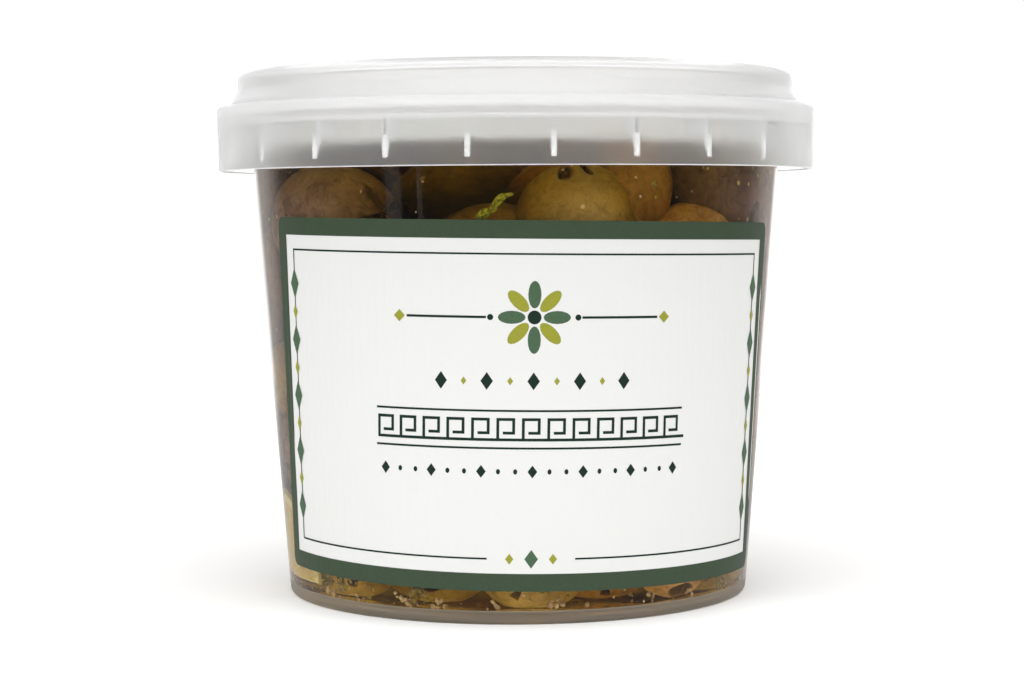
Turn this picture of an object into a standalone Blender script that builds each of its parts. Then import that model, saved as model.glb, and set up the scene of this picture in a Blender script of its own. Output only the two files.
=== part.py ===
"""A shut round tub of pitted olives in oil: tub, press-on lid, wrapped label, olives and lemon.

Lengths are in metres and +Z is up. The origin is the middle of the plane that the foot ring rests on.
The front faces -Y, and angles round the tub are in degrees from there towards +X.
"""

import math
import random
from typing import NamedTuple

import bmesh
import bpy
import numpy as np
from mathutils import Matrix, Vector

MM = 0.001
SEGMENTS = 72
CLEARANCE = 0.3 * MM

# Tub: a tapered wall, a floor raised on a foot ring, and a collar braced by gussets
BASE_RADIUS = 36.85 * MM
WALL_SLOPE = 0.0762
WALL = 0.75 * MM
FOOT_HEIGHT = 0.9 * MM
FLOOR_TOP = 1.8 * MM
RIM_HEIGHT = 81.3 * MM
WEB_BOTTOM = 74.5 * MM
WEB_TOP = 75.6 * MM
COLLAR_INNER_RADIUS = 46.0 * MM
COLLAR_TOP = 77.3 * MM
SKIRT_BOTTOM = 67.2 * MM
SKIRT_BOTTOM_RADIUS = 47.5 * MM
SKIRT_TOP_RADIUS = 47.75 * MM
SKIRT_WALL = 0.85 * MM

GUSSET_COUNT = 24
GUSSET_FIRST_ANGLE = 6.6
GUSSET_THICKNESS = 0.8 * MM
GUSSET_STEP_HEIGHT = 71.9 * MM
GUSSET_STEP_RADIUS = 45.6 * MM
GUSSET_TIP_HEIGHT = 68.5 * MM

# Lid: a ring over the tub's rim, a flared foot in the collar, and a panel sunk inside the ring
LID_FOOT_RADIUS = 45.65 * MM
LID_FOOT_BOTTOM = 75.95 * MM
LID_WAIST_HEIGHT = 79.8 * MM
LID_RING_RADIUS = 44.5 * MM
LID_RING_INNER_RADIUS = 41.0 * MM
LID_WALL = 0.8 * MM
LID_TOP = 82.7 * MM
LID_FIT = 0.4 * MM
LID_FOOT_DRAFT = 0.15 * MM
LID_FLARE_START = 77.6 * MM
LID_FLARE_MIDDLE = 78.9 * MM
LID_FLARE_RADIUS = 44.9 * MM
PANEL_BOTTOM = 74.7 * MM
PANEL_TOP = 75.6 * MM

# Label: a rounded rectangle wrapped round the front of the wall
LABEL_WIDTH = 94.0 * MM
LABEL_HEIGHT = 54.4 * MM
LABEL_MIDDLE_HEIGHT = 32.2 * MM
LABEL_MIDDLE_ANGLE = 3.4
LABEL_TILT = 0.8
LABEL_CORNER = 1.5 * MM
LABEL_THICKNESS = 0.2 * MM
LABEL_COLUMNS = 36
LABEL_CORNER_COLUMNS = 3

# Contents: olives settled side by side in the tub, round a core that closes the heap inside
FILL_LEVEL = 71.2 * MM
OLIVE_COUNT = 96
OLIVE_SEED = 11
OLIVE_LENGTH = 22.5 * MM
OLIVE_WIDTH = 15.0 * MM
OLIVE_SIDES = 8
OLIVE_RINGS = 6
OLIVE_BLUNTNESS = 0.06
OLIVE_PRESS = 0.9 * MM
WALL_PRESS = 0.35 * MM
CORE_DEPTH = 6.0 * MM
CORE_SIDES = 24
CORE_CORNER = 2.0 * MM

# Uneven sizes: spread and limits of an olive's size and stretch, and the range of heights and slopes
SIZE_SPREAD = 0.07
SIZE_LIMITS = (0.86, 1.14)
STRETCH_SPREAD = 0.06
STRETCH_LIMITS = (0.88, 1.12)
HEIGHT_SHARES = (0.06, 0.94)
STEEPEST_RISE = 0.8

# Settling: an olive acts as a run between two points with a girth that narrows to both ends
END_SHARE = 0.72
GIRTH_TAPER = 0.28
SETTLE_STEPS = 320
SETTLE_RATE = 0.35
SETTLE_PULL = 0.12 * MM
PULL_FADE = 1.3
NEAREST_ROUNDS = 4

# Olives that the clear wall shows at the front: angle, height, lean from upright, length, width, depth
FRONT_OLIVES = (
    (-54.5, 59.4, 84.0, 25.0, 17.0, 0.0),
    (-81.0, 49.5, 10.0, 20.5, 13.5, 0.0),
    (-29.0, 48.8, 12.0, 22.0, 14.0, 0.0),
    (-8.0, 53.8, 72.0, 22.0, 15.5, 4.5),
    (15.5, 56.6, -6.0, 23.5, 16.4, 0.0),
    (29.0, 63.0, 20.0, 20.0, 13.0, 5.0),
    (45.0, 53.8, 58.0, 22.5, 15.0, 0.0),
    (75.0, 57.0, -10.0, 23.0, 15.5, 0.0),
)

# Room for clear oil at the front, kept free of olives, stated in the same way
OIL_GAPS = (
    (-19.0, 65.6, 88.0, 27.0, 12.5, 0.0),
    (-19.0, 65.6, 88.0, 24.0, 12.5, 9.0),
    (50.0, 66.8, 80.0, 22.0, 8.6, 0.0),
)

# Lemon: part of a slice that lies against the wall, low on the left
LEMON_ANGLE = -76.0
LEMON_HEIGHT = 3.6 * MM
LEMON_RADIUS = 13.5 * MM
LEMON_THICKNESS = 4.0 * MM
LEMON_STEPS = 10
LEMON_EDGE = 0.2
LEMON_ROOM = 2.0 * MM
LEMON_ROW_HEIGHTS = (2.5 * MM, 8.0 * MM)
LEMON_ROW_LENGTHS = (1.8, 1.4)

# Small pieces of garlic and herb that lie in the corner of the floor, and a sprig at the front
BIT_ANGLES = (-52.0, -41.0, -27.5, -19.0, -6.0, 9.0, 33.0, 46.0, 95.0, 140.0, 188.0, 230.0)
BIT_SIZE = 1.5 * MM
BIT_LIFTS = (0.9, 1.6)
BIT_LENGTHS = (0.8, 1.4)
BIT_HEIGHTS = (0.7, 1.0)
SPRIG_ANGLE = -4.8
SPRIG_HEIGHT = 60.3 * MM
SPRIG_LENGTH = 6.5 * MM
SPRIG_THICKNESS = 1.2 * MM
SPRIG_RISE = 2.4 * MM
SPRIG_DEPTH = 4.8 * MM
SPRIG_GAP = 0.7 * MM
SPRIG_STEPS = 6


class Olive(NamedTuple):
    """One olive: the middle of the fruit, its long axis, its length and its width."""

    centre: Vector
    axis: Vector
    length: float
    width: float


def wall_radius(height):
    """Outer radius of the tub's wall at a height."""
    return BASE_RADIUS + WALL_SLOPE * height


def bore_radius(height):
    """Inner radius of the tub's wall at a height."""
    return wall_radius(height) - WALL


def on_circle(angle, radius, height):
    """The point at an angle round the tub, in degrees from the front, at a radius and height."""
    turn = math.radians(angle)
    return Vector((radius * math.sin(turn), -radius * math.cos(turn), height))


def arc(centre_radius, centre_height, radius, start, end, steps):
    """Points of a circular arc in the (radius, height) plane, with angles in degrees from outward."""
    points = []
    for step in range(steps + 1):
        turn = math.radians(start + (end - start) * step / steps)
        points.append((centre_radius + radius * math.cos(turn), centre_height + radius * math.sin(turn)))
    return points


def clear_scene():
    """Removes every object that the file holds."""
    for item in list(bpy.data.objects):
        bpy.data.objects.remove(item, do_unlink=True)


def make_material(name, colour, roughness, alpha=1.0):
    """A plain Principled material."""
    material = bpy.data.materials.new(name)
    material.use_nodes = True
    shader = material.node_tree.nodes["Principled BSDF"]
    shader.inputs["Base Color"].default_value = (*colour, 1.0)
    shader.inputs["Roughness"].default_value = roughness
    shader.inputs["Metallic"].default_value = 0.0
    shader.inputs["Alpha"].default_value = alpha
    return material


def make_object(name, bm, material, smooth_angle=None):
    """Puts a bmesh into a new object of the scene, shaded smooth up to an angle where one is given."""
    mesh = bpy.data.meshes.new(name)
    bm.to_mesh(mesh)
    bm.free()
    if smooth_angle is not None:
        mesh.shade_smooth()
        mesh.set_sharp_from_angle(angle=math.radians(smooth_angle))
    if material is not None:
        mesh.materials.append(material)
    item = bpy.data.objects.new(name, mesh)
    bpy.context.scene.collection.objects.link(item)
    return item


def turned(profile, segments=SEGMENTS):
    """Spins a profile that starts and ends on the axis into a closed body."""
    bm = bmesh.new()
    verts = [bm.verts.new((radius, 0.0, height)) for radius, height in profile]
    edges = [bm.edges.new(pair) for pair in zip(verts, verts[1:])]
    bmesh.ops.spin(
        bm,
        geom=verts + edges,
        cent=(0.0, 0.0, 0.0),
        axis=(0.0, 0.0, 1.0),
        angle=2.0 * math.pi,
        steps=segments,
    )
    bmesh.ops.remove_doubles(bm, verts=bm.verts, dist=0.001 * MM)
    bmesh.ops.recalc_face_normals(bm, faces=bm.faces)
    return bm


def fuse(base, pieces):
    """Joins the pieces to the base by one Boolean union on a collection, and removes them."""
    group = bpy.data.collections.new("pieces")
    for piece in pieces:
        group.objects.link(piece)
    union = base.modifiers.new("fuse", "BOOLEAN")
    union.operation = "UNION"
    union.operand_type = "COLLECTION"
    union.collection = group
    union.solver = "EXACT"
    apply_modifiers(base)
    for piece in pieces:
        bpy.data.objects.remove(piece, do_unlink=True)
    bpy.data.collections.remove(group)


def cut(base, cutter):
    """Takes the cutter's shape out of the base, and removes the cutter."""
    difference = base.modifiers.new("cut", "BOOLEAN")
    difference.operation = "DIFFERENCE"
    difference.object = cutter
    difference.solver = "EXACT"
    apply_modifiers(base)
    bpy.data.objects.remove(cutter, do_unlink=True)


def apply_modifiers(item):
    """Replaces an object's mesh by the mesh that its modifiers give."""
    graph = bpy.context.evaluated_depsgraph_get()
    evaluated = bpy.data.meshes.new_from_object(item.evaluated_get(graph))
    old = item.data
    item.modifiers.clear()
    item.data = evaluated
    evaluated.name = old.name
    bpy.data.meshes.remove(old)


def keep_largest_shell(item):
    """Drops loose scraps and sealed hollows, so that one outer shell is left."""
    bm = bmesh.new()
    bm.from_mesh(item.data)
    bmesh.ops.triangulate(bm, faces=bm.faces)
    bmesh.ops.remove_doubles(bm, verts=bm.verts, dist=0.001 * MM)
    bmesh.ops.dissolve_degenerate(bm, edges=bm.edges, dist=0.001 * MM)
    left = set(bm.verts)
    shells = []
    while left:
        seed = left.pop()
        shell = {seed}
        edge_of_shell = [seed]
        while edge_of_shell:
            vert = edge_of_shell.pop()
            for edge in vert.link_edges:
                other = edge.other_vert(vert)
                if other not in shell:
                    shell.add(other)
                    edge_of_shell.append(other)
        left -= shell
        shells.append(shell)
    largest = max(shells, key=len)
    bmesh.ops.delete(bm, geom=[vert for vert in bm.verts if vert not in largest], context="VERTS")
    bm.to_mesh(item.data)
    bm.free()


def tub_profile():
    """The tub's section, from the middle of its underside round the collar to the middle of its floor."""
    foot_round = 0.6 * MM
    skirt_round = 0.8 * MM
    skirt_inner_bottom = SKIRT_BOTTOM_RADIUS - SKIRT_WALL
    skirt_inner_top = SKIRT_TOP_RADIUS - SKIRT_WALL
    edge_round = 0.25 * MM
    rim_outer = wall_radius(RIM_HEIGHT)
    rim_inner = bore_radius(RIM_HEIGHT)
    profile = [(0.0, FOOT_HEIGHT), (BASE_RADIUS - 2.2 * MM, FOOT_HEIGHT), (BASE_RADIUS - 1.8 * MM, 0.0)]
    profile += arc(BASE_RADIUS - foot_round, foot_round, foot_round, -90.0, 0.0, 2)
    profile.append((wall_radius(WEB_BOTTOM), WEB_BOTTOM))
    profile.append((skirt_inner_top, WEB_BOTTOM))
    profile.append((skirt_inner_bottom, SKIRT_BOTTOM + edge_round))
    profile.append((skirt_inner_bottom + edge_round, SKIRT_BOTTOM))
    profile.append((SKIRT_BOTTOM_RADIUS - edge_round, SKIRT_BOTTOM))
    profile.append((SKIRT_BOTTOM_RADIUS, SKIRT_BOTTOM + edge_round))
    profile += arc(SKIRT_TOP_RADIUS - skirt_round, COLLAR_TOP - skirt_round, skirt_round, 0.0, 90.0, 3)
    profile.append((COLLAR_INNER_RADIUS, COLLAR_TOP))
    profile.append((COLLAR_INNER_RADIUS, WEB_TOP))
    profile.append((wall_radius(WEB_TOP), WEB_TOP))
    profile.append((rim_outer, RIM_HEIGHT))
    profile.append((rim_inner, RIM_HEIGHT))
    profile.append((bore_radius(FLOOR_TOP + 0.6 * MM), FLOOR_TOP + 0.6 * MM))
    profile.append((bore_radius(FLOOR_TOP) - 0.7 * MM, FLOOR_TOP))
    profile.append((0.0, FLOOR_TOP))
    return profile


def make_gusset(angle):
    """One rib between the wall and the skirt, under the collar's web, that runs to a point on the skirt."""
    root = 0.4 * MM
    wall_at_step = wall_radius(GUSSET_STEP_HEIGHT)
    skirt_inner = SKIRT_BOTTOM_RADIUS - SKIRT_WALL
    outline = (
        (wall_at_step - root, WEB_BOTTOM + root),
        (wall_at_step - root, GUSSET_STEP_HEIGHT),
        (GUSSET_STEP_RADIUS, GUSSET_STEP_HEIGHT),
        (skirt_inner, GUSSET_TIP_HEIGHT),
        (skirt_inner + root, GUSSET_TIP_HEIGHT),
        (skirt_inner + root, WEB_BOTTOM + root),
    )
    bm = bmesh.new()
    side = GUSSET_THICKNESS / 2.0
    face = bm.faces.new([bm.verts.new((radius, -side, height)) for radius, height in outline])
    extruded = bmesh.ops.extrude_face_region(bm, geom=[face])
    moved = [item for item in extruded["geom"] if isinstance(item, bmesh.types.BMVert)]
    bmesh.ops.translate(bm, verts=moved, vec=(0.0, GUSSET_THICKNESS, 0.0))
    bmesh.ops.recalc_face_normals(bm, faces=bm.faces)
    bmesh.ops.rotate(bm, verts=bm.verts, matrix=Matrix.Rotation(math.radians(angle - 90.0), 3, "Z"))
    return make_object("gusset", bm, None)


def make_tub():
    """The clear tub with its collar and gussets."""
    material = make_material("clear_polypropylene", (0.86, 0.85, 0.82), 0.2, 0.35)
    tub = make_object("tub", turned(tub_profile()), material, 35.0)
    step = 360.0 / GUSSET_COUNT
    fuse(tub, [make_gusset(GUSSET_FIRST_ANGLE + step * index) for index in range(GUSSET_COUNT)])
    keep_largest_shell(tub)
    return tub


def lid_profile():
    """The lid's section, from the middle of the panel's underside over the ring to its top side."""
    plug_radius = bore_radius(PANEL_BOTTOM) - LID_FIT
    plug_corner = 0.4 * MM
    channel_top = RIM_HEIGHT + LID_FIT
    channel_outer = LID_RING_RADIUS - LID_WALL
    foot_inner = LID_FOOT_RADIUS - LID_WALL - LID_FOOT_DRAFT
    outer_round = 1.3 * MM
    ring_draft = 0.1 * MM
    inner_round = 0.8 * MM
    ring_foot_inner = LID_RING_INNER_RADIUS - 0.5 * MM
    panel_corner = 0.6 * MM
    profile = [(0.0, PANEL_BOTTOM), (plug_radius - plug_corner, PANEL_BOTTOM)]
    profile.append((plug_radius, PANEL_BOTTOM + plug_corner))
    profile.append((bore_radius(channel_top) - LID_FIT, channel_top))
    profile.append((channel_outer - LID_FOOT_DRAFT, channel_top))
    profile.append((channel_outer, LID_WAIST_HEIGHT))
    profile.append((foot_inner, LID_FOOT_BOTTOM))
    profile.append((LID_FOOT_RADIUS, LID_FOOT_BOTTOM))
    profile.append((LID_FOOT_RADIUS, LID_FLARE_START))
    profile.append((LID_FLARE_RADIUS, LID_FLARE_MIDDLE))
    profile.append((LID_RING_RADIUS, LID_WAIST_HEIGHT))
    outer_middle = LID_RING_RADIUS - ring_draft - outer_round
    profile += arc(outer_middle, LID_TOP - outer_round, outer_round, 0.0, 90.0, 3)
    profile += arc(LID_RING_INNER_RADIUS + inner_round, LID_TOP - inner_round, inner_round, 90.0, 180.0, 2)
    profile.append((ring_foot_inner, PANEL_TOP + panel_corner))
    profile.append((ring_foot_inner - panel_corner, PANEL_TOP))
    profile.append((0.0, PANEL_TOP))
    return profile


def make_lid():
    """The frosted lid, whose channel fits over the tub's rim."""
    material = make_material("frosted_polypropylene", (0.82, 0.83, 0.81), 0.5, 0.7)
    return make_object("lid", turned(lid_profile()), material, 35.0)


def wrapped(across, up, depth, middle_angle, middle_height, tilt=0.0):
    """A flat point laid on the tub's cone: across and up from a middle, and depth outside the wall."""
    turn = math.radians(tilt)
    across, up = across * math.cos(turn) + up * math.sin(turn), up * math.cos(turn) - across * math.sin(turn)
    height = middle_height + up
    radius = wall_radius(height)
    return on_circle(middle_angle + math.degrees(across / radius), radius + depth, height)


def sheet_body(columns, lift, thickness, placed):
    """Closes a thin body over columns of (across, low, high), each placed on a curved surface."""
    bm = bmesh.new()
    rows = []
    for across, low, high in columns:
        corners = ((low, lift), (high, lift), (high, lift + thickness), (low, lift + thickness))
        rows.append([bm.verts.new(placed(across, up, depth)) for up, depth in corners])
    for left, right in zip(rows, rows[1:]):
        for index in range(4):
            following = (index + 1) % 4
            bm.faces.new((left[index], left[following], right[following], right[index]))
    bm.faces.new(rows[0])
    bm.faces.new(rows[-1])
    bmesh.ops.recalc_face_normals(bm, faces=bm.faces)
    return bm


def label_columns():
    """Columns of the label's rounded rectangle: across, bottom and top, from left to right."""
    flat = LABEL_WIDTH / 2.0 - LABEL_CORNER
    across = []
    for step in range(LABEL_CORNER_COLUMNS):
        across.append(flat + LABEL_CORNER * math.cos(math.radians(90.0 * step / LABEL_CORNER_COLUMNS)))
    left = [-value for value in across]
    middle = [-flat + 2.0 * flat * step / LABEL_COLUMNS for step in range(LABEL_COLUMNS + 1)]
    columns = []
    for place in left + middle + across[::-1]:
        past = max(abs(place) - flat, 0.0)
        drop = LABEL_CORNER - math.sqrt(max(LABEL_CORNER**2 - past**2, 0.0))
        edge = LABEL_HEIGHT / 2.0 - drop
        columns.append((place, -edge, edge))
    return columns


def make_label():
    """The printed label on the front of the wall."""

    def placed(across, up, depth):
        return wrapped(across, up, depth, LABEL_MIDDLE_ANGLE, LABEL_MIDDLE_HEIGHT, LABEL_TILT)

    material = make_material("label_paper", (0.85, 0.85, 0.83), 0.45)
    bm = sheet_body(label_columns(), CLEARANCE, LABEL_THICKNESS, placed)
    return make_object("label", bm, material)


def lemon_body(grow=0.0):
    """Half a lemon slice with its flat side down, curved along the bore's wall and grown by a margin."""
    radius = LEMON_RADIUS + grow
    columns = []
    for step in range(LEMON_STEPS + 1):
        turn = math.radians(90.0 * (1.0 - LEMON_EDGE / 2.0) * (2.0 * step / LEMON_STEPS - 1.0))
        columns.append((radius * math.sin(turn), -grow, radius * math.cos(turn)))
    outer = -WALL - CLEARANCE + grow
    thickness = LEMON_THICKNESS + 2.0 * grow

    def placed(across, up, depth):
        return wrapped(across, up, depth, LEMON_ANGLE, LEMON_HEIGHT)

    return sheet_body(columns, outer - thickness, thickness, placed)


def make_lemon():
    """The piece of lemon against the wall."""
    return make_object("lemon_slice", lemon_body(), make_material("lemon", (0.8, 0.66, 0.25), 0.4), 40.0)


def front_olive(angle, height, lean, length, width, depth):
    """An olive that touches the wall at an angle and height, leaning from upright towards +angle."""
    turn = math.radians(angle)
    along = Vector((math.cos(turn), math.sin(turn), 0.0))
    tip = math.radians(lean)
    axis = Vector((0.0, 0.0, math.cos(tip))) + along * math.sin(tip)
    sagitta = (length / 3.0 * math.sin(tip)) ** 2 / (2.0 * bore_radius(height))
    radius = bore_radius(height) - CLEARANCE - width / 2.0 - sagitta - depth
    return Olive(on_circle(angle, radius, height), axis, length, width)


def olives_by_hand(table):
    """The olives, or gaps shaped as olives, that a table of places in millimetres sets."""
    fixed = []
    for angle, height, lean, length, width, depth in table:
        fixed.append(front_olive(angle, height * MM, lean, length * MM, width * MM, depth * MM))
    return fixed


def lemon_neighbours():
    """Two flat-lying stand-ins that keep the olives off the lemon."""
    width = LEMON_THICKNESS + LEMON_ROOM
    rows = []
    for rise, share in zip(LEMON_ROW_HEIGHTS, LEMON_ROW_LENGTHS):
        rows.append(front_olive(LEMON_ANGLE, LEMON_HEIGHT + rise, 90.0, share * LEMON_RADIUS, width, 0.0))
    return rows


def loose_olives(rng, count):
    """Olives of uneven size, thrown into the tub at random places and turns."""
    olives = []
    for _ in range(count):
        size = min(max(rng.gauss(1.0, SIZE_SPREAD), SIZE_LIMITS[0]), SIZE_LIMITS[1])
        stretch = min(max(rng.gauss(1.0, STRETCH_SPREAD), STRETCH_LIMITS[0]), STRETCH_LIMITS[1])
        height = FLOOR_TOP + (FILL_LEVEL - FLOOR_TOP) * rng.uniform(*HEIGHT_SHARES)
        radius = (bore_radius(height) - OLIVE_WIDTH / 2.0) * math.sqrt(rng.random())
        rise = rng.uniform(-STEEPEST_RISE, STEEPEST_RISE)
        flat = math.sqrt(1.0 - rise * rise)
        heading = rng.uniform(0.0, 2.0 * math.pi)
        axis = Vector((flat * math.cos(heading), flat * math.sin(heading), rise))
        centre = on_circle(rng.uniform(0.0, 360.0), radius, height)
        width = OLIVE_WIDTH * size / math.sqrt(stretch)
        olives.append(Olive(centre, axis, OLIVE_LENGTH * size * stretch, width))
    return olives


def girth(half_width, place):
    """Radius of an olive at a place from 0 to 1 between the two points that carry its ends."""
    return half_width * (1.0 - GIRTH_TAPER * (2.0 * place - 1.0) ** 2)


def nearest_places(start_a, run_a, start_b, run_b):
    """Places from 0 to 1 along pairs of straight runs where each pair is closest."""
    place_a = np.full(len(start_a), 0.5)
    place_b = np.full(len(start_a), 0.5)
    for _ in range(NEAREST_ROUNDS):
        point = start_a + run_a * place_a[:, None]
        place_b = np.clip(((point - start_b) * run_b).sum(axis=1) / (run_b * run_b).sum(axis=1), 0.0, 1.0)
        point = start_b + run_b * place_b[:, None]
        place_a = np.clip(((point - start_a) * run_a).sum(axis=1) / (run_a * run_a).sum(axis=1), 0.0, 1.0)
    return place_a, place_b


def settle(olives, fixed_count):
    """Pushes the olives apart and inside the bore, step by step. The first fixed_count stay still."""
    smallest = 0.01 * MM
    width = np.array([olive.width for olive in olives])
    reach = np.array([olive.length for olive in olives]) / 2.0 - END_SHARE * width / 2.0
    middle = np.array([olive.centre for olive in olives], dtype=float)
    axis = np.array([olive.axis for olive in olives], dtype=float)
    free = np.arange(len(olives)) >= fixed_count
    first, second = np.triu_indices(len(olives), 1)
    share_first = np.where(free[first], np.where(free[second], 0.5, 1.0), 0.0)
    share_second = np.where(free[second], np.where(free[first], 0.5, 1.0), 0.0)
    for step in range(SETTLE_STEPS):
        low = middle - axis * reach[:, None]
        high = middle + axis * reach[:, None]
        run = high - low
        pull = SETTLE_PULL * max(1.0 - PULL_FADE * step / SETTLE_STEPS, 0.0)
        outward = middle * (1.0, 1.0, 0.0) / np.hypot(middle[:, 0], middle[:, 1])[:, None]
        shift_low = pull * outward
        shift_high = pull * outward
        place_a, place_b = nearest_places(low[first], run[first], low[second], run[second])
        gap = low[first] + run[first] * place_a[:, None] - low[second] - run[second] * place_b[:, None]
        distance = np.maximum(np.sqrt((gap * gap).sum(axis=1)), smallest)
        touch = girth(width[first] / 2.0, place_a) + girth(width[second] / 2.0, place_b) - OLIVE_PRESS
        push = gap / distance[:, None] * (np.maximum(touch - distance, 0.0) * SETTLE_RATE)[:, None]
        for rows, places, shares in ((first, place_a, share_first), (second, place_b, -share_second)):
            np.add.at(shift_low, rows, push * ((1.0 - places) * shares)[:, None])
            np.add.at(shift_high, rows, push * (places * shares)[:, None])
        for place in (0.0, 0.5, 1.0):
            point = low + run * place
            size = girth(width / 2.0, place)
            limit = bore_radius(point[:, 2]) - CLEARANCE - size
            radius = np.maximum(np.hypot(point[:, 0], point[:, 1]), smallest)
            inward = np.maximum(radius - limit, 0.0) / radius
            shift = np.stack([-point[:, 0] * inward, -point[:, 1] * inward, np.zeros(len(point))], axis=1)
            shift[:, 2] += np.maximum(FLOOR_TOP + CLEARANCE + size - point[:, 2], 0.0)
            shift[:, 2] -= np.maximum(point[:, 2] + size - FILL_LEVEL, 0.0)
            shift_low += shift * (1.0 - place)
            shift_high += shift * place
        low = low + shift_low * free[:, None]
        high = high + shift_high * free[:, None]
        middle = (low + high) / 2.0
        axis = (high - low) / np.sqrt(((high - low) ** 2).sum(axis=1))[:, None]
    settled = []
    for index, olive in enumerate(olives):
        settled.append(olive._replace(centre=Vector(middle[index]), axis=Vector(axis[index])))
    return settled


def settled_olives():
    """Every olive of the heap in its last place."""
    fixed = olives_by_hand(FRONT_OLIVES) + olives_by_hand(OIL_GAPS) + lemon_neighbours()
    loose = loose_olives(random.Random(OLIVE_SEED), OLIVE_COUNT - len(FRONT_OLIVES))
    settled = settle(fixed + loose, len(fixed))
    return settled[: len(FRONT_OLIVES)] + settled[len(fixed) :]


def olive_body(olive):
    """A faceted olive, a little blunter than an ellipsoid."""
    bm = bmesh.new()
    bmesh.ops.create_uvsphere(bm, u_segments=OLIVE_SIDES, v_segments=OLIVE_RINGS, radius=1.0)
    for vert in bm.verts:
        blunt = 1.0 + OLIVE_BLUNTNESS * (1.0 - vert.co.z**2)
        vert.co.x *= olive.width / 2.0 * blunt
        vert.co.y *= olive.width / 2.0 * blunt
        vert.co.z *= olive.length / 2.0
    turn = olive.axis.to_track_quat("Z", "Y").to_matrix()
    bmesh.ops.transform(bm, matrix=Matrix.Translation(olive.centre) @ turn.to_4x4(), verts=bm.verts)
    keep_in_bore(bm)
    return make_object("olive", bm, None)


def keep_in_bore(bm):
    """Presses what would cross the wall or the floor back to the bore, as soft fruit lies against it."""
    for vert in bm.verts:
        vert.co.z = max(vert.co.z, FLOOR_TOP + CLEARANCE)
        limit = bore_radius(vert.co.z) - WALL_PRESS
        radius = math.hypot(vert.co.x, vert.co.y)
        if radius > limit:
            vert.co.x *= limit / radius
            vert.co.y *= limit / radius


def shows(olive):
    """True for an olive that lies outside the heap's core."""
    radius = math.hypot(olive.centre.x, olive.centre.y)
    near_wall = radius > bore_radius(olive.centre.z) - CORE_DEPTH - olive.width / 2.0
    near_top = olive.centre.z > FILL_LEVEL - CORE_DEPTH - olive.width / 2.0
    near_floor = olive.centre.z < FLOOR_TOP + CORE_DEPTH + olive.width / 2.0
    return near_wall or near_top or near_floor


def heap_core():
    """The tapered body that closes the heap behind the olives that show."""
    low = FLOOR_TOP + CORE_DEPTH
    high = FILL_LEVEL - CORE_DEPTH
    low_radius = bore_radius(low) - CORE_DEPTH
    high_radius = bore_radius(high) - CORE_DEPTH
    profile = [(0.0, low), (low_radius - CORE_CORNER, low), (low_radius, low + CORE_CORNER)]
    profile += [(high_radius, high - CORE_CORNER), (high_radius - CORE_CORNER, high), (0.0, high)]
    return turned(profile, CORE_SIDES)


def make_bit(rng, angle):
    """A small crumb of garlic or herb in the corner between floor and wall."""
    bm = bmesh.new()
    bmesh.ops.create_icosphere(bm, subdivisions=1, radius=BIT_SIZE)
    height = FLOOR_TOP + CLEARANCE + BIT_SIZE * rng.uniform(*BIT_LIFTS)
    radius = bore_radius(height) - CLEARANCE - BIT_SIZE
    spin = Matrix.Rotation(rng.uniform(0.0, math.pi), 4, "X")
    stretch = Matrix.Diagonal((rng.uniform(*BIT_LENGTHS), 1.0, rng.uniform(*BIT_HEIGHTS), 1.0))
    place = Matrix.Translation(on_circle(angle, radius, height))
    bmesh.ops.transform(bm, matrix=place @ spin @ stretch, verts=bm.verts)
    keep_in_bore(bm)
    return make_object("bit", bm, None)


def make_sprig():
    """A thin, wavy herb leaf seen edge-on at the front, which reaches back to the olive below it."""
    columns = []
    for step in range(SPRIG_STEPS + 1):
        along = step / SPRIG_STEPS
        half = SPRIG_THICKNESS / 2.0 * math.sin(math.pi * (0.1 + 0.8 * along))
        lift = 0.25 * SPRIG_RISE * math.sin(2.0 * math.pi * along) + SPRIG_RISE * (along - 0.5)
        columns.append((SPRIG_LENGTH * (along - 0.5), lift - half, lift + half))

    def placed(across, up, depth):
        return wrapped(across, up, depth, SPRIG_ANGLE, SPRIG_HEIGHT)

    outer = -WALL - SPRIG_GAP
    bm = sheet_body(columns, outer - SPRIG_DEPTH, SPRIG_DEPTH, placed)
    return make_object("sprig", bm, None)


def make_olives():
    """The heap of olives with the small pieces that lie among them, cut clear of the lemon."""
    material = make_material("olives_in_oil", (0.16, 0.09, 0.04), 0.35)
    heap = make_object("olives", heap_core(), material)
    rng = random.Random(OLIVE_SEED + 1)
    pieces = [olive_body(olive) for olive in settled_olives() if shows(olive)]
    pieces += [make_bit(rng, angle) for angle in BIT_ANGLES]
    pieces.append(make_sprig())
    fuse(heap, pieces)
    cut(heap, make_object("lemon_space", lemon_body(CLEARANCE), None))
    keep_largest_shell(heap)
    heap.data.shade_smooth()
    heap.data.set_sharp_from_angle(angle=math.radians(40.0))
    return heap


def main():
    """Builds the sub-parts in turn."""
    clear_scene()
    make_tub()
    make_lid()
    make_label()
    make_olives()
    make_lemon()


main()
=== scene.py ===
"""Looks of a shut round tub of pitted olives in oil: clear tub, frosted lid, printed label, contents.

Lengths are in metres in the frame's coordinates: +Z up, and the label faces -Y. Angles round the tub are
in degrees from the front towards +X. Each class below is one sub-assembly, or one finish.
"""

import logging
import math
import random
from collections.abc import Callable
from dataclasses import dataclass, field
from enum import Enum
from typing import Any, NamedTuple

import bmesh
import bpy
import numpy as np
from mathutils import Matrix, Vector


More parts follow.
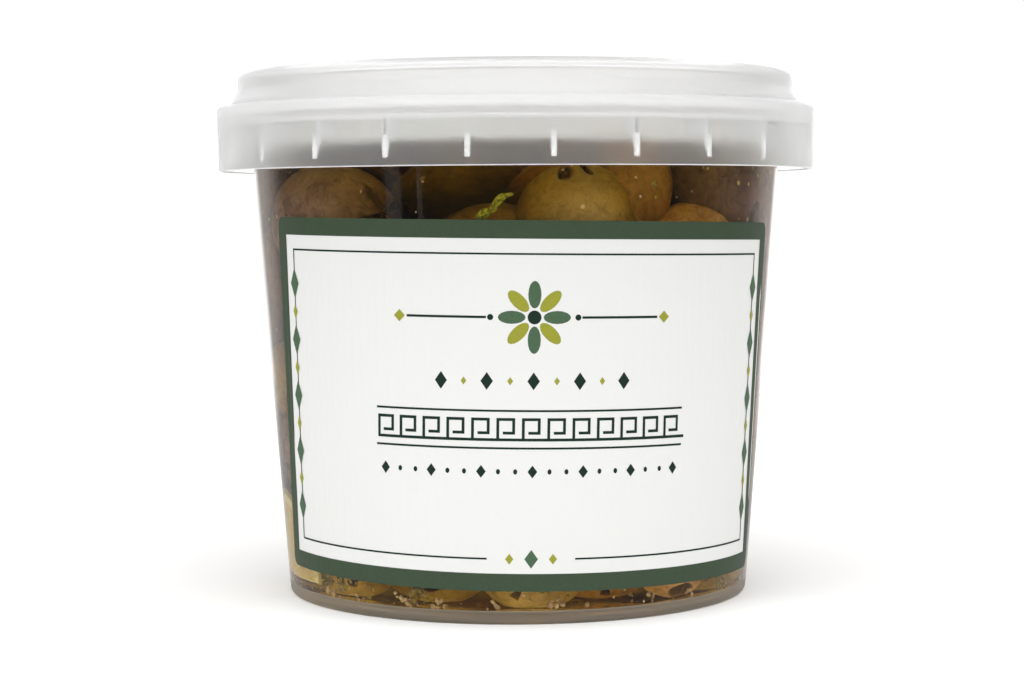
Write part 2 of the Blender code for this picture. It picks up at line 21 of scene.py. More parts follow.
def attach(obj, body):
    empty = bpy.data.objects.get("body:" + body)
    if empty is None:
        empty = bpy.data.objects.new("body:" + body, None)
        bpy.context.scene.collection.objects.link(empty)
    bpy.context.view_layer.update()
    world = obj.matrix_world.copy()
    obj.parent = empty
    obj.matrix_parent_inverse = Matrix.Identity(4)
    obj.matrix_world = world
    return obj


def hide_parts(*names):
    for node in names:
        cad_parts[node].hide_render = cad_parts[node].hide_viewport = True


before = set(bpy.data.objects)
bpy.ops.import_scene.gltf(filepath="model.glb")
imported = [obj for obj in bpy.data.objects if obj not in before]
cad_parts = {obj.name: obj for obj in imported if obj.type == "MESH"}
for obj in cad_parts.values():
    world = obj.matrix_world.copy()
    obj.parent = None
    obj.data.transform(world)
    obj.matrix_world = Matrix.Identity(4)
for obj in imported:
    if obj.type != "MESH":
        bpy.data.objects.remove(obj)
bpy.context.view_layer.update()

LOG = logging.getLogger("tub")
MM = 0.001
BODY = "root"
UNMOVED = Matrix.Identity(4)
CORE_RADIUS = 2.0 * MM
DOUBLED = 0.0005 * MM
FULL_TURN = 6.3


def srgb(code: str) -> tuple[float, float, float, float]:
    """Turns an sRGB hex colour into linear values.

    Args:
        code: The colour as "#rrggbb".

    Returns:
        Linear red, green, blue and an alpha of 1.
    """
    values = [int(code[place : place + 2], 16) / 255.0 for place in (1, 3, 5)]
    linear = [v / 12.92 if v <= 0.04045 else ((v + 0.055) / 1.055) ** 2.4 for v in values]
    return (linear[0], linear[1], linear[2], 1.0)


def add_node(
    tree: bpy.types.NodeTree, kind: str, settings: dict | None = None, **links: bpy.types.NodeSocket
) -> bpy.types.Node:
    """Adds a shader node with its settings, input values and links.

    Args:
        tree: The node tree that it goes in.
        kind: The node's type name.
        settings: Properties of the node, and input values under the input's name or number.
        links: Source sockets under the target input's name, with spaces as underscores, or in0, in1.

    Returns:
        The new node.
    """
    node = tree.nodes.new(kind)
    for name, value in (settings or {}).items():
        if isinstance(name, int) or name in node.inputs:
            node.inputs[name].default_value = value
        else:
            setattr(node, name, value)
    for name, source in links.items():
        key = int(name[2:]) if name[:2] == "in" and name[2:].isdigit() else name.replace("_", " ")
        tree.links.new(source, node.inputs[key])
    return node


def new_material(name: str) -> tuple[bpy.types.Material, bpy.types.NodeTree]:
    """Starts a node material with an empty tree.

    Args:
        name: The material's name.

    Returns:
        The material and its node tree.
    """
    material = bpy.data.materials.new(name)
    material.use_nodes = True
    material.node_tree.nodes.clear()
    return material, material.node_tree


def deselect_all() -> None:
    """Deselects every object, in object mode."""
    if bpy.context.object is not None and bpy.context.object.mode != "OBJECT":
        bpy.ops.object.mode_set(mode="OBJECT")
    bpy.ops.object.select_all(action="DESELECT")


def activate(item: bpy.types.Object) -> None:
    """Makes an object the only selected one, and the active one.

    Args:
        item: The object.
    """
    deselect_all()
    item.select_set(True)
    bpy.context.view_layer.objects.active = item


def edit_all(item: bpy.types.Object) -> None:
    """Enters edit mode on an object with everything selected.

    Args:
        item: The object.
    """
    activate(item)
    bpy.ops.object.mode_set(mode="EDIT")
    bpy.ops.mesh.select_mode(type="VERT")
    bpy.ops.mesh.select_all(action="SELECT")


def leave_edit() -> None:
    """Returns to object mode."""
    bpy.ops.object.mode_set(mode="OBJECT")


def primitive(add: Callable, **sizes: Any) -> bpy.types.Object:
    """Adds a basic mesh.

    Args:
        add: Blender's operator for it.
        sizes: The operator's settings.

    Returns:
        The new object.
    """
    deselect_all()
    add(**sizes)
    return bpy.context.object


def extrude(x: float, y: float, z: float) -> None:
    """Extrudes what is selected in edit mode by a distance along each axis."""
    bpy.ops.mesh.extrude_region_move(TRANSFORM_OT_translate={"value": (x, y, z)})


def select_faces(item: bpy.types.Object, wanted: Callable[[Vector], bool]) -> None:
    """Selects the faces of the object in edit mode that a test picks.

    Args:
        item: The object, in edit mode.
        wanted: A test of a face's middle.
    """
    bpy.ops.mesh.select_mode(type="FACE")
    bm = bmesh.from_edit_mesh(item.data)
    for face in bm.faces:
        face.select_set(bool(wanted(face.calc_center_median())))
    bm.select_flush_mode()
    bmesh.update_edit_mesh(item.data)


def dent(item: bpy.types.Object, pattern: str, size: float, strength: float, middle: float = 0.5) -> None:
    """Adds a modifier that dents an object by a procedural texture.

    Args:
        item: The object.
        pattern: The texture's type.
        size: The texture's scale.
        strength: How far it moves the surface between its darkest and its lightest value.
        middle: The value that leaves the surface where it is.
    """
    texture = bpy.data.textures.new("dents", pattern)
    texture.noise_scale = size
    modifier = item.modifiers.new("dents", "DISPLACE")
    modifier.texture = texture
    modifier.strength = strength
    modifier.mid_level = middle


def thicken(item: bpy.types.Object, thickness: float) -> None:
    """Turns an open sheet into a closed body of a thickness."""
    item.modifiers.new("thickness", "SOLIDIFY").thickness = thickness
    apply_all(item)


def apply_all(item: bpy.types.Object) -> None:
    """Applies every modifier of an object, in order."""
    activate(item)
    for name in [modifier.name for modifier in item.modifiers]:
        bpy.ops.object.modifier_apply(modifier=name)


def duplicate(item: bpy.types.Object) -> bpy.types.Object:
    """Copies an object with its mesh.

    Args:
        item: The object.

    Returns:
        The copy, in the scene.
    """
    copy = item.copy()
    copy.data = item.data.copy()
    bpy.context.scene.collection.objects.link(copy)
    return copy


def discard(*items: bpy.types.Object) -> None:
    """Removes objects that only helped."""
    for item in items:
        bpy.data.objects.remove(item, do_unlink=True)


def join(items: list[bpy.types.Object], name: str) -> bpy.types.Object:
    """Joins objects into the first one.

    Args:
        items: The objects.
        name: The name of the result.

    Returns:
        The joined object.
    """
    deselect_all()
    for item in items:
        item.select_set(True)
    bpy.context.view_layer.objects.active = items[0]
    if len(items) > 1:
        bpy.ops.object.join()
    items[0].name = name
    items[0].data.name = name
    return items[0]


def outward(item: bpy.types.Object, merged: bool = False) -> None:
    """Turns every face of an object outwards, and leaves edit mode.

    Args:
        item: The object.
        merged: Whether doubled points are merged first.
    """
    edit_all(item)
    if merged:
        bpy.ops.mesh.remove_doubles(threshold=DOUBLED)
    bpy.ops.mesh.normals_make_consistent(inside=False)
    leave_edit()


def smooth(item: bpy.types.Object, angle: float = 35.0) -> None:
    """Shades an object smooth, with edges sharper than an angle in degrees kept crisp."""
    activate(item)
    bpy.ops.object.shade_smooth_by_angle(angle=math.radians(angle))


def set_values(mesh: bpy.types.Mesh, name: str, values: list[float]) -> None:
    """Stores a number at each point of a mesh under a name, for its finish to read."""
    mesh.attributes.new(name, "FLOAT", "POINT").data.foreach_set("value", values)


def dress(item: bpy.types.Object, *finishes: Any) -> None:
    """Gives an object its finishes, in the order of its material slots."""
    item.data.materials.clear()
    for finish in finishes:
        item.data.materials.append(finish.build())


def publish(item: bpy.types.Object, slot: str, *replaced: str) -> None:
    """Attaches a finished piece to the body, and hides the CAD nodes that it stands for.

    Args:
        item: The piece.
        slot: The record's material slot that it stands for. Not used.
        replaced: CAD nodes that it stands for.
    """
    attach(item, BODY)
    if replaced:
        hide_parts(*replaced)
    LOG.info("%s: %d faces", item.name, len(item.data.polygons))


def arc(centre_r: float, centre_z: float, radius: float, start: float, end: float, steps: int) -> list:
    """Points of a circular arc in the (radius, height) plane.

    Args:
        centre_r: The centre's distance from the axis.
        centre_z: The centre's height.
        radius: The arc's radius.
        start: The first angle, in degrees from outward, positive upwards.
        end: The last angle.
        steps: How many straight steps the arc has.

    Returns:
        A list of (radius, height) pairs.
    """
    points = []
    for step in range(steps + 1):
        turn = math.radians(start + (end - start) * step / steps)
        points.append((centre_r + radius * math.cos(turn), centre_z + radius * math.sin(turn)))
    return points


def turned(name: str, profile: list, sides: int = 192) -> bpy.types.Object:
    """Turns a profile into a closed body by extruding a ring from point to point.

    Args:
        name: The object's name.
        profile: (radius, height) pairs, from the underside near the axis outwards, up and back in.
        sides: How many sides the ring has.

    Returns:
        The turned object.
    """
    radius, height = profile[0]
    item = primitive(bpy.ops.mesh.primitive_circle_add, vertices=sides, radius=radius)
    item.name = name
    item.data.name = name
    edit_all(item)
    bpy.ops.transform.translate(value=(0.0, 0.0, height))
    bpy.ops.mesh.edge_face_add()
    bpy.ops.mesh.select_mode(type="EDGE")
    for next_radius, next_height in profile[1:]:
        bpy.ops.mesh.extrude_edges_move(TRANSFORM_OT_translate={"value": (0.0, 0.0, next_height - height)})
        ratio = next_radius / radius
        bpy.ops.transform.resize(value=(ratio, ratio, 1.0), center_override=(0.0, 0.0, next_height))
        radius, height = next_radius, next_height
    bpy.ops.mesh.edge_face_add()
    outward(item)
    return item


@dataclass(frozen=True)
class TubForm:
    """Driving sizes of the tub that its contents, label and lid share."""

    base_radius: float = 36.85 * MM
    slope: float = 0.0762
    wall: float = 0.75 * MM
    foot_height: float = 0.9 * MM
    floor_top: float = 1.8 * MM
    rim_height: float = 81.3 * MM
    web_bottom: float = 74.5 * MM
    web_top: float = 75.6 * MM
    collar_inner: float = 46.0 * MM
    collar_top: float = 77.3 * MM
    skirt_bottom: float = 67.2 * MM
    skirt_low_radius: float = 47.5 * MM
    skirt_high_radius: float = 47.75 * MM
    skirt_wall: float = 0.85 * MM
    fill_level: float = 71.2 * MM
    oil_level: float = 71.4 * MM
    clearance: float = 0.3 * MM

    def wall_radius(self, height: float) -> float:
        """Outer radius of the wall at a height."""
        return self.base_radius + self.slope * height

    def bore_radius(self, height: float) -> float:
        """Inner radius of the wall at a height."""
        return self.wall_radius(height) - self.wall

    def on_circle(self, angle: float, radius: float, height: float) -> Vector:
        """The point at an angle round the tub, at a radius and height."""
        turn = math.radians(angle)
        return Vector((radius * math.sin(turn), -radius * math.cos(turn), height))

    def wrapped(
        self, across: float, up: float, depth: float, angle: float, height: float, tilt: float = 0.0
    ) -> Vector:
        """Lays a flat point on the tub's cone.

        Args:
            across: Distance to the right of the middle, along the wall.
            up: Distance above the middle.
            depth: Distance outside the wall.
            angle: The middle's angle round the tub.
            height: The middle's height.
            tilt: How far the flat sheet is turned clockwise, in degrees.

        Returns:
            The point in space.
        """
        turn = math.radians(tilt)
        turned_across = across * math.cos(turn) + up * math.sin(turn)
        level = height + up * math.cos(turn) - across * math.sin(turn)
        radius = self.wall_radius(level)
        return self.on_circle(angle + math.degrees(turned_across / radius), radius + depth, level)


FORM = TubForm()


@dataclass(frozen=True)
class ClearPolypropylene:
    """Natural polypropylene, injection moulded and clear.

    Thin clear walls let the contents show, with slow ripples from the mould.
    """

    wetted: bool = False
    tint: str = "#fbfaf6"
    roughness: float = 0.03
    ior: float = 1.49
    ripple: float = 9.0 * MM

    def build(self) -> bpy.types.Material:
        """Makes the material. Where oil wets it, it hardly reflects, because both bend light alike.

        Returns:
            The material.
        """
        material, tree = new_material(f"{'wetted' if self.wetted else 'clear'}_moulded_polypropylene")
        place = add_node(tree, "ShaderNodeTexCoord").outputs["Object"]
        upright = add_node(tree, "ShaderNodeMapping", {"Scale": (1.0, 1.0, 0.12)}, Vector=place)
        waves = {"Scale": 1.0 / self.ripple, "Detail": 1.0}
        wave = add_node(tree, "ShaderNodeTexNoise", waves, Vector=upright.outputs["Vector"])
        low = {"Strength": 0.12, "Distance": 0.1 * MM}
        bump = add_node(tree, "ShaderNodeBump", low, Height=wave.outputs["Fac"])
        plastic = {
            "Base Color": srgb(self.tint),
            "Roughness": self.roughness,
            "IOR": self.ior,
            "Transmission Weight": 1.0,
            "Specular Tint": srgb("#000000" if self.wetted else "#bcbcbc"),
        }
        shader = add_node(tree, "ShaderNodeBsdfPrincipled", plastic, Normal=bump.outputs["Normal"])
        add_node(tree, "ShaderNodeOutputMaterial", Surface=shader.outputs["BSDF"])
        return material


@dataclass(frozen=True)
class FrostedPolypropylene:
    """Natural polypropylene from a textured mould.

    Its fine frost scatters light, so that what is close behind shows and what is far behind blurs to grey.
    """

    name: str
    tint: str = "#ffffff"
    roughness: float = 0.34
    ior: float = 1.49
    transmission: float = 0.95
    gloss: float = 0.0
    grain: float = 0.35 * MM

    def build(self) -> bpy.types.Material:
        """Makes the material.

        Returns:
            The material.
        """
        material, tree = new_material(self.name)
        place = add_node(tree, "ShaderNodeTexCoord").outputs["Object"]
        grains = {"Scale": 1.0 / self.grain, "Detail": 2.0}
        frost = add_node(tree, "ShaderNodeTexNoise", grains, Vector=place)
        low = {"Strength": 0.15, "Distance": 0.05 * MM}
        bump = add_node(tree, "ShaderNodeBump", low, Height=frost.outputs["Fac"])
        plastic = {
            "Base Color": srgb(self.tint),
            "Roughness": self.roughness,
            "IOR": self.ior,
            "Transmission Weight": self.transmission,
            "Coat Weight": self.gloss,
            "Coat Roughness": 0.12,
        }
        shader = add_node(tree, "ShaderNodeBsdfPrincipled", plastic, Normal=bump.outputs["Normal"])
        add_node(tree, "ShaderNodeOutputMaterial", Surface=shader.outputs["BSDF"])
        return material


@dataclass(frozen=True)
class OliveOil:
    """Olive oil with some brine, clear and golden in a thin layer and dark brown in a deep one."""

    ior: float = 1.467
    density: float = 170.0
    colour: str = "#e5dc52"

    def build(self) -> bpy.types.Material:
        """Makes the material.

        Returns:
            The material.
        """
        material, tree = new_material("olive_oil")
        liquid = {
            "Base Color": srgb("#ffffff"),
            "Roughness": 0.0,
            "IOR": self.ior,
            "Transmission Weight": 1.0,
            "Specular Tint": srgb("#000000"),
        }
        shader = add_node(tree, "ShaderNodeBsdfPrincipled", liquid)
        soaks = {"Color": srgb(self.colour), "Density": self.density}
        depth = add_node(tree, "ShaderNodeVolumeAbsorption", soaks)
        sockets = {"Surface": shader.outputs["BSDF"], "Volume": depth.outputs["Volume"]}
        add_node(tree, "ShaderNodeOutputMaterial", **sockets)
        return material


class OliveKind(Enum):
    """Kinds of olive in the tub, by ripeness."""

    PLUM = "plum"
    AMBER = "amber"
    GREEN = "green"


@dataclass(frozen=True)
class OliveSkin:
    """Skin of a cured olive: mottled, faintly wrinkled, bruised and pricked with pale specks, with painted
    shade.
    """

    kind: OliveKind
    base: str
    blush: str
    shade: str
    spot_and_crease_shade: str
    spots: float
    wrinkles: float
    flesh: str = "#8a6a3a"
    speck: str = "#e6cf98"
    painted_shade: str = "#372e1c"

    def build(self) -> bpy.types.Material:
        """Makes the material. Patches are about 6 mm wide, wrinkles 1.2 mm and specks 0.4 mm.

        Returns:
            The material.
        """
        material, tree = new_material(f"cured_olive_skin_{self.kind.value}")
        place = add_node(tree, "ShaderNodeTexCoord").outputs["Object"]
        tone, pit, gloom = (
            add_node(tree, "ShaderNodeAttribute", {"attribute_name": name}).outputs["Fac"]
            for name in ("tone", "pit", "gloom")
        )
        patches = add_node(tree, "ShaderNodeTexNoise", {"Scale": 170.0, "Detail": 3.0}, Vector=place)
        grains = {"Scale": 620.0, "Detail": 6.0, "Roughness": 0.75, "Distortion": 0.8}
        grain = add_node(tree, "ShaderNodeTexNoise", grains, Vector=place)
        folds = {"Scale": 420.0, "Detail": 6.0, "Roughness": 0.6, "Distortion": 1.6}
        wrinkle = add_node(tree, "ShaderNodeTexNoise", folds, Vector=place)
        bruises = add_node(tree, "ShaderNodeTexVoronoi", {"Scale": 330.0}, Vector=place)
        cells = add_node(tree, "ShaderNodeTexVoronoi", {"Scale": 520.0}, Vector=place)
        chance = add_node(tree, "ShaderNodeSeparateColor", Color=cells.outputs["Color"])
        sizes = {"From Min": 0.66, "To Max": 0.24}
        wide = add_node(tree, "ShaderNodeMapRange", sizes, Value=chance.outputs["Red"])
        ends = {"in0": wide.outputs["Result"], "in1": cells.outputs["Distance"]}
        inside = add_node(tree, "ShaderNodeMath", {"operation": "SUBTRACT"}, **ends)
        masks = (
            (patches.outputs["Fac"], 0.38, 0.64, 1.0),
            (grain.outputs["Fac"], 0.48, 0.74, 0.7),
            (bruises.outputs["Distance"], 0.2, 0.08, self.spots),
            (inside.outputs["Value"], 0.0, 0.05, 0.8),
            # Painted shade: this mask darkens the wrinkles' valleys.
            (wrinkle.outputs["Fac"], 0.5, 0.36, 0.75 * self.wrinkles),
        )
        shares = []
        for source, start, end, most in masks:
            span = {"From Min": start, "From Max": end, "To Max": most}
            shares.append(add_node(tree, "ShaderNodeMapRange", span, Value=source).outputs["Result"])
        blotch, mottle, bruise, dots, crease_shade = shares
        first = {"data_type": "RGBA", 6: srgb(self.base), 7: srgb(self.blush)}
        colour = add_node(tree, "ShaderNodeMix", first, Factor=blotch).outputs[2]
        layers = (
            (tone, self.shade),
            (mottle, self.spot_and_crease_shade),
            (bruise, self.spot_and_crease_shade),
            (dots, self.speck),
            (pit, self.flesh),
            # Painted shade in the wrinkle valleys, in the dark spot colour.
            (crease_shade, self.spot_and_crease_shade),
            # Painted shade: an oil brown darkens the skin deep between olives, where less light reaches.
            (gloom, self.painted_shade),
        )
        for share, tint in layers:
            layer = {"data_type": "RGBA", 7: srgb(tint)}
            colour = add_node(tree, "ShaderNodeMix", layer, in6=colour, Factor=share).outputs[2]
        relief = {"Strength": self.wrinkles, "Distance": 0.8 * MM}
        bump = add_node(tree, "ShaderNodeBump", relief, Height=wrinkle.outputs["Fac"])
        skin = {"Roughness": 0.42, "IOR": 1.45, "Specular IOR Level": 0.3}
        sockets = {"Base_Color": colour, "Normal": bump.outputs["Normal"]}
        shader = add_node(tree, "ShaderNodeBsdfPrincipled", skin, **sockets)
        add_node(tree, "ShaderNodeOutputMaterial", Surface=shader.outputs["BSDF"])
        return material


@dataclass(frozen=True)
class SoftFood:
    """Soft food in oil, such as garlic or herb: two colours in patches over a fine rough surface."""

    name: str
    light: str
    dark: str
    patch: float
    roughness: float = 0.5
    relief: float = 0.15 * MM

    def build(self) -> bpy.types.Material:
        """Makes the material.

        Returns:
            The material.
        """
        material, tree = new_material(self.name)
        place = add_node(tree, "ShaderNodeTexCoord").outputs["Object"]
        patches = {"Scale": 1.0 / self.patch, "Detail": 3.0}
        noise = add_node(tree, "ShaderNodeTexNoise", patches, Vector=place).outputs["Fac"]
        spread = add_node(tree, "ShaderNodeMapRange", {"From Min": 0.35, "From Max": 0.65}, Value=noise)
        tints = {"data_type": "RGBA", 6: srgb(self.dark), 7: srgb(self.light)}
        colour = add_node(tree, "ShaderNodeMix", tints, Factor=spread.outputs["Result"])
        bump = add_node(tree, "ShaderNodeBump", {"Strength": 0.5, "Distance": self.relief}, Height=noise)
        sockets = {"Base_Color": colour.outputs[2], "Normal": bump.outputs["Normal"]}
        shader = add_node(tree, "ShaderNodeBsdfPrincipled", {"Roughness": self.roughness}, **sockets)
        add_node(tree, "ShaderNodeOutputMaterial", Surface=shader.outputs["BSDF"])
        return material


@dataclass(frozen=True)
class PrintedFilm:
    """Satin label film, white or printed, with the faint mottle of ink on film."""

    name: str
    colour: str
    mottle: float
    roughness: float = 0.5

    def build(self) -> bpy.types.Material:
        """Makes the material. The ink's mottle is about 0.4 mm wide.

        Returns:
            The material.
        """
        material, tree = new_material(self.name)
        place = add_node(tree, "ShaderNodeTexCoord").outputs["Object"]
        grain = add_node(tree, "ShaderNodeTexNoise", {"Scale": 2500.0, "Detail": 2.0}, Vector=place)
        swing = {"To Min": 1.0 - 4.0 * self.mottle, "To Max": 1.0 + 4.0 * self.mottle}
        shift = add_node(tree, "ShaderNodeMapRange", swing, Value=grain.outputs["Fac"])
        ink = {"Color": srgb(self.colour)}
        colour = add_node(tree, "ShaderNodeHueSaturation", ink, Value=shift.outputs["Result"])
        satin = {"Roughness": self.roughness, "Specular IOR Level": 0.16}
        shader = add_node(tree, "ShaderNodeBsdfPrincipled", satin, Base_Color=colour.outputs["Color"])
        add_node(tree, "ShaderNodeOutputMaterial", Surface=shader.outputs["BSDF"])
        return material


class TubZone(Enum):
    """Zones of the tub by their finish, in the order of its material slots."""

    CLEAR = ClearPolypropylene()
    SKIRT = FrostedPolypropylene("frosted_skirt_polypropylene", "#f8f9f8", 0.33)
    WETTED = ClearPolypropylene(wetted=True)
    # Painted highlight: a milky white finish makes the ribs and the skirt's bottom edge show as bright
    # lines, where light piped and bent through them would shine.
    RIB = FrostedPolypropylene("milky_highlight_polypropylene", roughness=0.3, transmission=0.25)
    WEB = FrostedPolypropylene("thick_web_polypropylene", transmission=0.66, gloss=0.12)
    FOOT = FrostedPolypropylene("thick_foot_polypropylene", "#a29685", 0.4, transmission=0.78)


@dataclass
class Tub:
    """The clear tub: tapered wall, floor on a foot ring, frosted collar and skirt, and ribs in it."""

    form: TubForm = FORM
    rib_count: int = 24
    rib_first_angle: float = 6.6
    rib_thickness: float = 0.8 * MM
    rib_step_height: float = 71.9 * MM
    rib_step_radius: float = 45.6 * MM
    rib_tip_height: float = 68.5 * MM
    rib_root: float = 0.4 * MM
    foot_band: float = 2.1 * MM
    foot_width: float = 2.3 * MM
    foot_bead: float = 1.55 * MM
    heel: float = 0.6 * MM
    fillet: float = 0.3 * MM
    edge: float = 0.25 * MM
    crown: float = 0.8 * MM
    seam_drop: float = 0.6 * MM

    def profile(self) -> list:
        """Works out the section from the middle of the underside round the collar to that of the floor.

        Returns:
            A list of (radius, height) pairs.
        """
        form, heel, fillet, edge, crown = self.form, self.heel, self.fillet, self.edge, self.crown
        low_in = form.skirt_low_radius - form.skirt_wall
        high_in = form.skirt_high_radius - form.skirt_wall
        points = [(CORE_RADIUS, form.foot_height), (form.base_radius - self.foot_width, form.foot_height)]
        points += arc(form.base_radius - self.foot_bead, fillet, fillet, 180.0, 270.0, 4)
        points += arc(form.base_radius - heel, heel, heel, -90.0, 0.0, 6)
        points.append((form.wall_radius(self.foot_band), self.foot_band))
        for step in range(1, 8):
            height = heel + (form.web_bottom - fillet - heel) * step / 8
            points.append((form.wall_radius(height), height))
        corner = form.wall_radius(form.web_bottom) + fillet
        points += arc(corner, form.web_bottom - fillet, fillet, 180.0, 90.0, 4)
        points += arc(high_in - fillet, form.web_bottom - fillet, fillet, 90.0, 0.0, 4)
        points += arc(low_in + edge, form.skirt_bottom + edge, edge, 180.0, 270.0, 4)
        points += arc(form.skirt_low_radius - edge, form.skirt_bottom + edge, edge, -90.0, 0.0, 4)
        seam = form.web_bottom - self.seam_drop
        share = (seam - form.skirt_bottom - edge) / (form.collar_top - crown - form.skirt_bottom - edge)
        widening = form.skirt_high_radius - form.skirt_low_radius
        points.append((form.skirt_low_radius + widening * share, seam))
        points += arc(form.skirt_high_radius - crown, form.collar_top - crown, crown, 0.0, 90.0, 8)
        points += arc(form.collar_inner + 0.2 * MM, form.collar_top - 0.2 * MM, 0.2 * MM, 90.0, 180.0, 3)
        points.append((form.collar_inner, form.web_top))
        points.append((form.wall_radius(form.web_top), form.web_top))
        half = form.wall / 2.0
        points += arc(form.wall_radius(form.rim_height) - half, form.rim_height - half, half, 0.0, 180.0, 6)
        low, high = form.floor_top + crown, form.rim_height - half
        heights = [high + (low - high) * step / 8 for step in range(1, 8)] + [form.oil_level]
        points += [(form.bore_radius(height), height) for height in sorted(heights, reverse=True)]
        points += arc(form.bore_radius(form.floor_top) - crown, low, crown, 0.0, -90.0, 5)
        points.append((CORE_RADIUS, form.floor_top))
        return points

    def rib(self, angle: float) -> bpy.types.Object:
        """Models one rib as an extruded plate that narrows to a point on the skirt.

        Args:
            angle: Its angle round the tub.

        Returns:
            The rib.
        """
        form, root = self.form, self.rib_root
        wall = form.wall_radius(self.rib_step_height) - root
        skirt = form.skirt_low_radius - form.skirt_wall
        outline = (
            (wall, form.web_bottom + root),
            (wall, self.rib_step_height),
            (self.rib_step_radius, self.rib_step_height),
            (skirt, self.rib_tip_height),
            (skirt + root, self.rib_tip_height),
            (skirt + root, form.web_bottom + root),
        )
        add = bpy.ops.mesh.primitive_circle_add
        item = primitive(add, vertices=len(outline), radius=MM, fill_type="NGON")
        for vert, (radius, height) in zip(item.data.vertices, outline):
            vert.co = (radius, -self.rib_thickness / 2.0, height)
        edit_all(item)
        extrude(0.0, self.rib_thickness, 0.0)
        outward(item)
        item.data.transform(Matrix.Rotation(math.radians(angle - 90.0), 4, "Z"))
        return item

    def on_rib(self, point: Vector) -> bool:
        """Tells whether a point lies on a rib, between the skirt's inside and the wall.

        Args:
            point: The point.

        Returns:
            True on a rib.
        """
        form = self.form
        radius = math.hypot(point.x, point.y)
        step = 360.0 / self.rib_count
        angle = math.degrees(math.atan2(point.x, -point.y)) - self.rib_first_angle
        past = (angle + step / 2.0) % step - step / 2.0
        beside = abs(math.radians(past) * radius) < 0.55 * self.rib_thickness
        inside = radius < form.skirt_low_radius - form.skirt_wall - 0.02 * MM
        return beside and inside and point.z < form.web_bottom

    def zone(self, middle: Vector) -> TubZone:
        """Finds the zone of a face. Margins of about 0.1 mm keep faces on a border in their zone.

        Args:
            middle: The face's middle.

        Returns:
            The zone.
        """
        form = self.form
        radius = math.hypot(middle.x, middle.y)
        bore = form.bore_radius(middle.z)
        if middle.z > form.skirt_bottom - MM and radius > form.wall_radius(middle.z) + 0.1 * MM:
            # Painted highlight: the skirt's bottom edge and the ribs take the milky finish.
            if middle.z < form.skirt_bottom + 0.12 * MM or self.on_rib(middle):
                return TubZone.RIB
            return TubZone.WEB if middle.z > form.web_bottom - 0.1 * MM else TubZone.SKIRT
        if middle.z < form.floor_top - 0.2 * MM and radius > bore - 3.0 * MM:
            return TubZone.FOOT
        if form.floor_top - 0.1 * MM < middle.z < form.oil_level and radius < bore + 0.1 * MM:
            return TubZone.WETTED
        return TubZone.CLEAR

    def build(self) -> None:
        """Builds and dresses the tub."""
        tub = turned("tub_shell", self.profile())
        step = 360.0 / self.rib_count
        ribs = join([self.rib(self.rib_first_angle + step * k) for k in range(self.rib_count)], "ribs")
        union = tub.modifiers.new("ribs", "BOOLEAN")
        union.operation = "UNION"
        union.solver = "EXACT"
        union.object = ribs
        apply_all(tub)
        discard(ribs)
        outward(tub, merged=True)
        smooth(tub)
        zones = list(TubZone)
        dress(tub, *(zone.value for zone in zones))
        for face in tub.data.polygons:
            face.material_index = zones.index(self.zone(face.center))
        publish(tub, "clear_plastic", "tub")


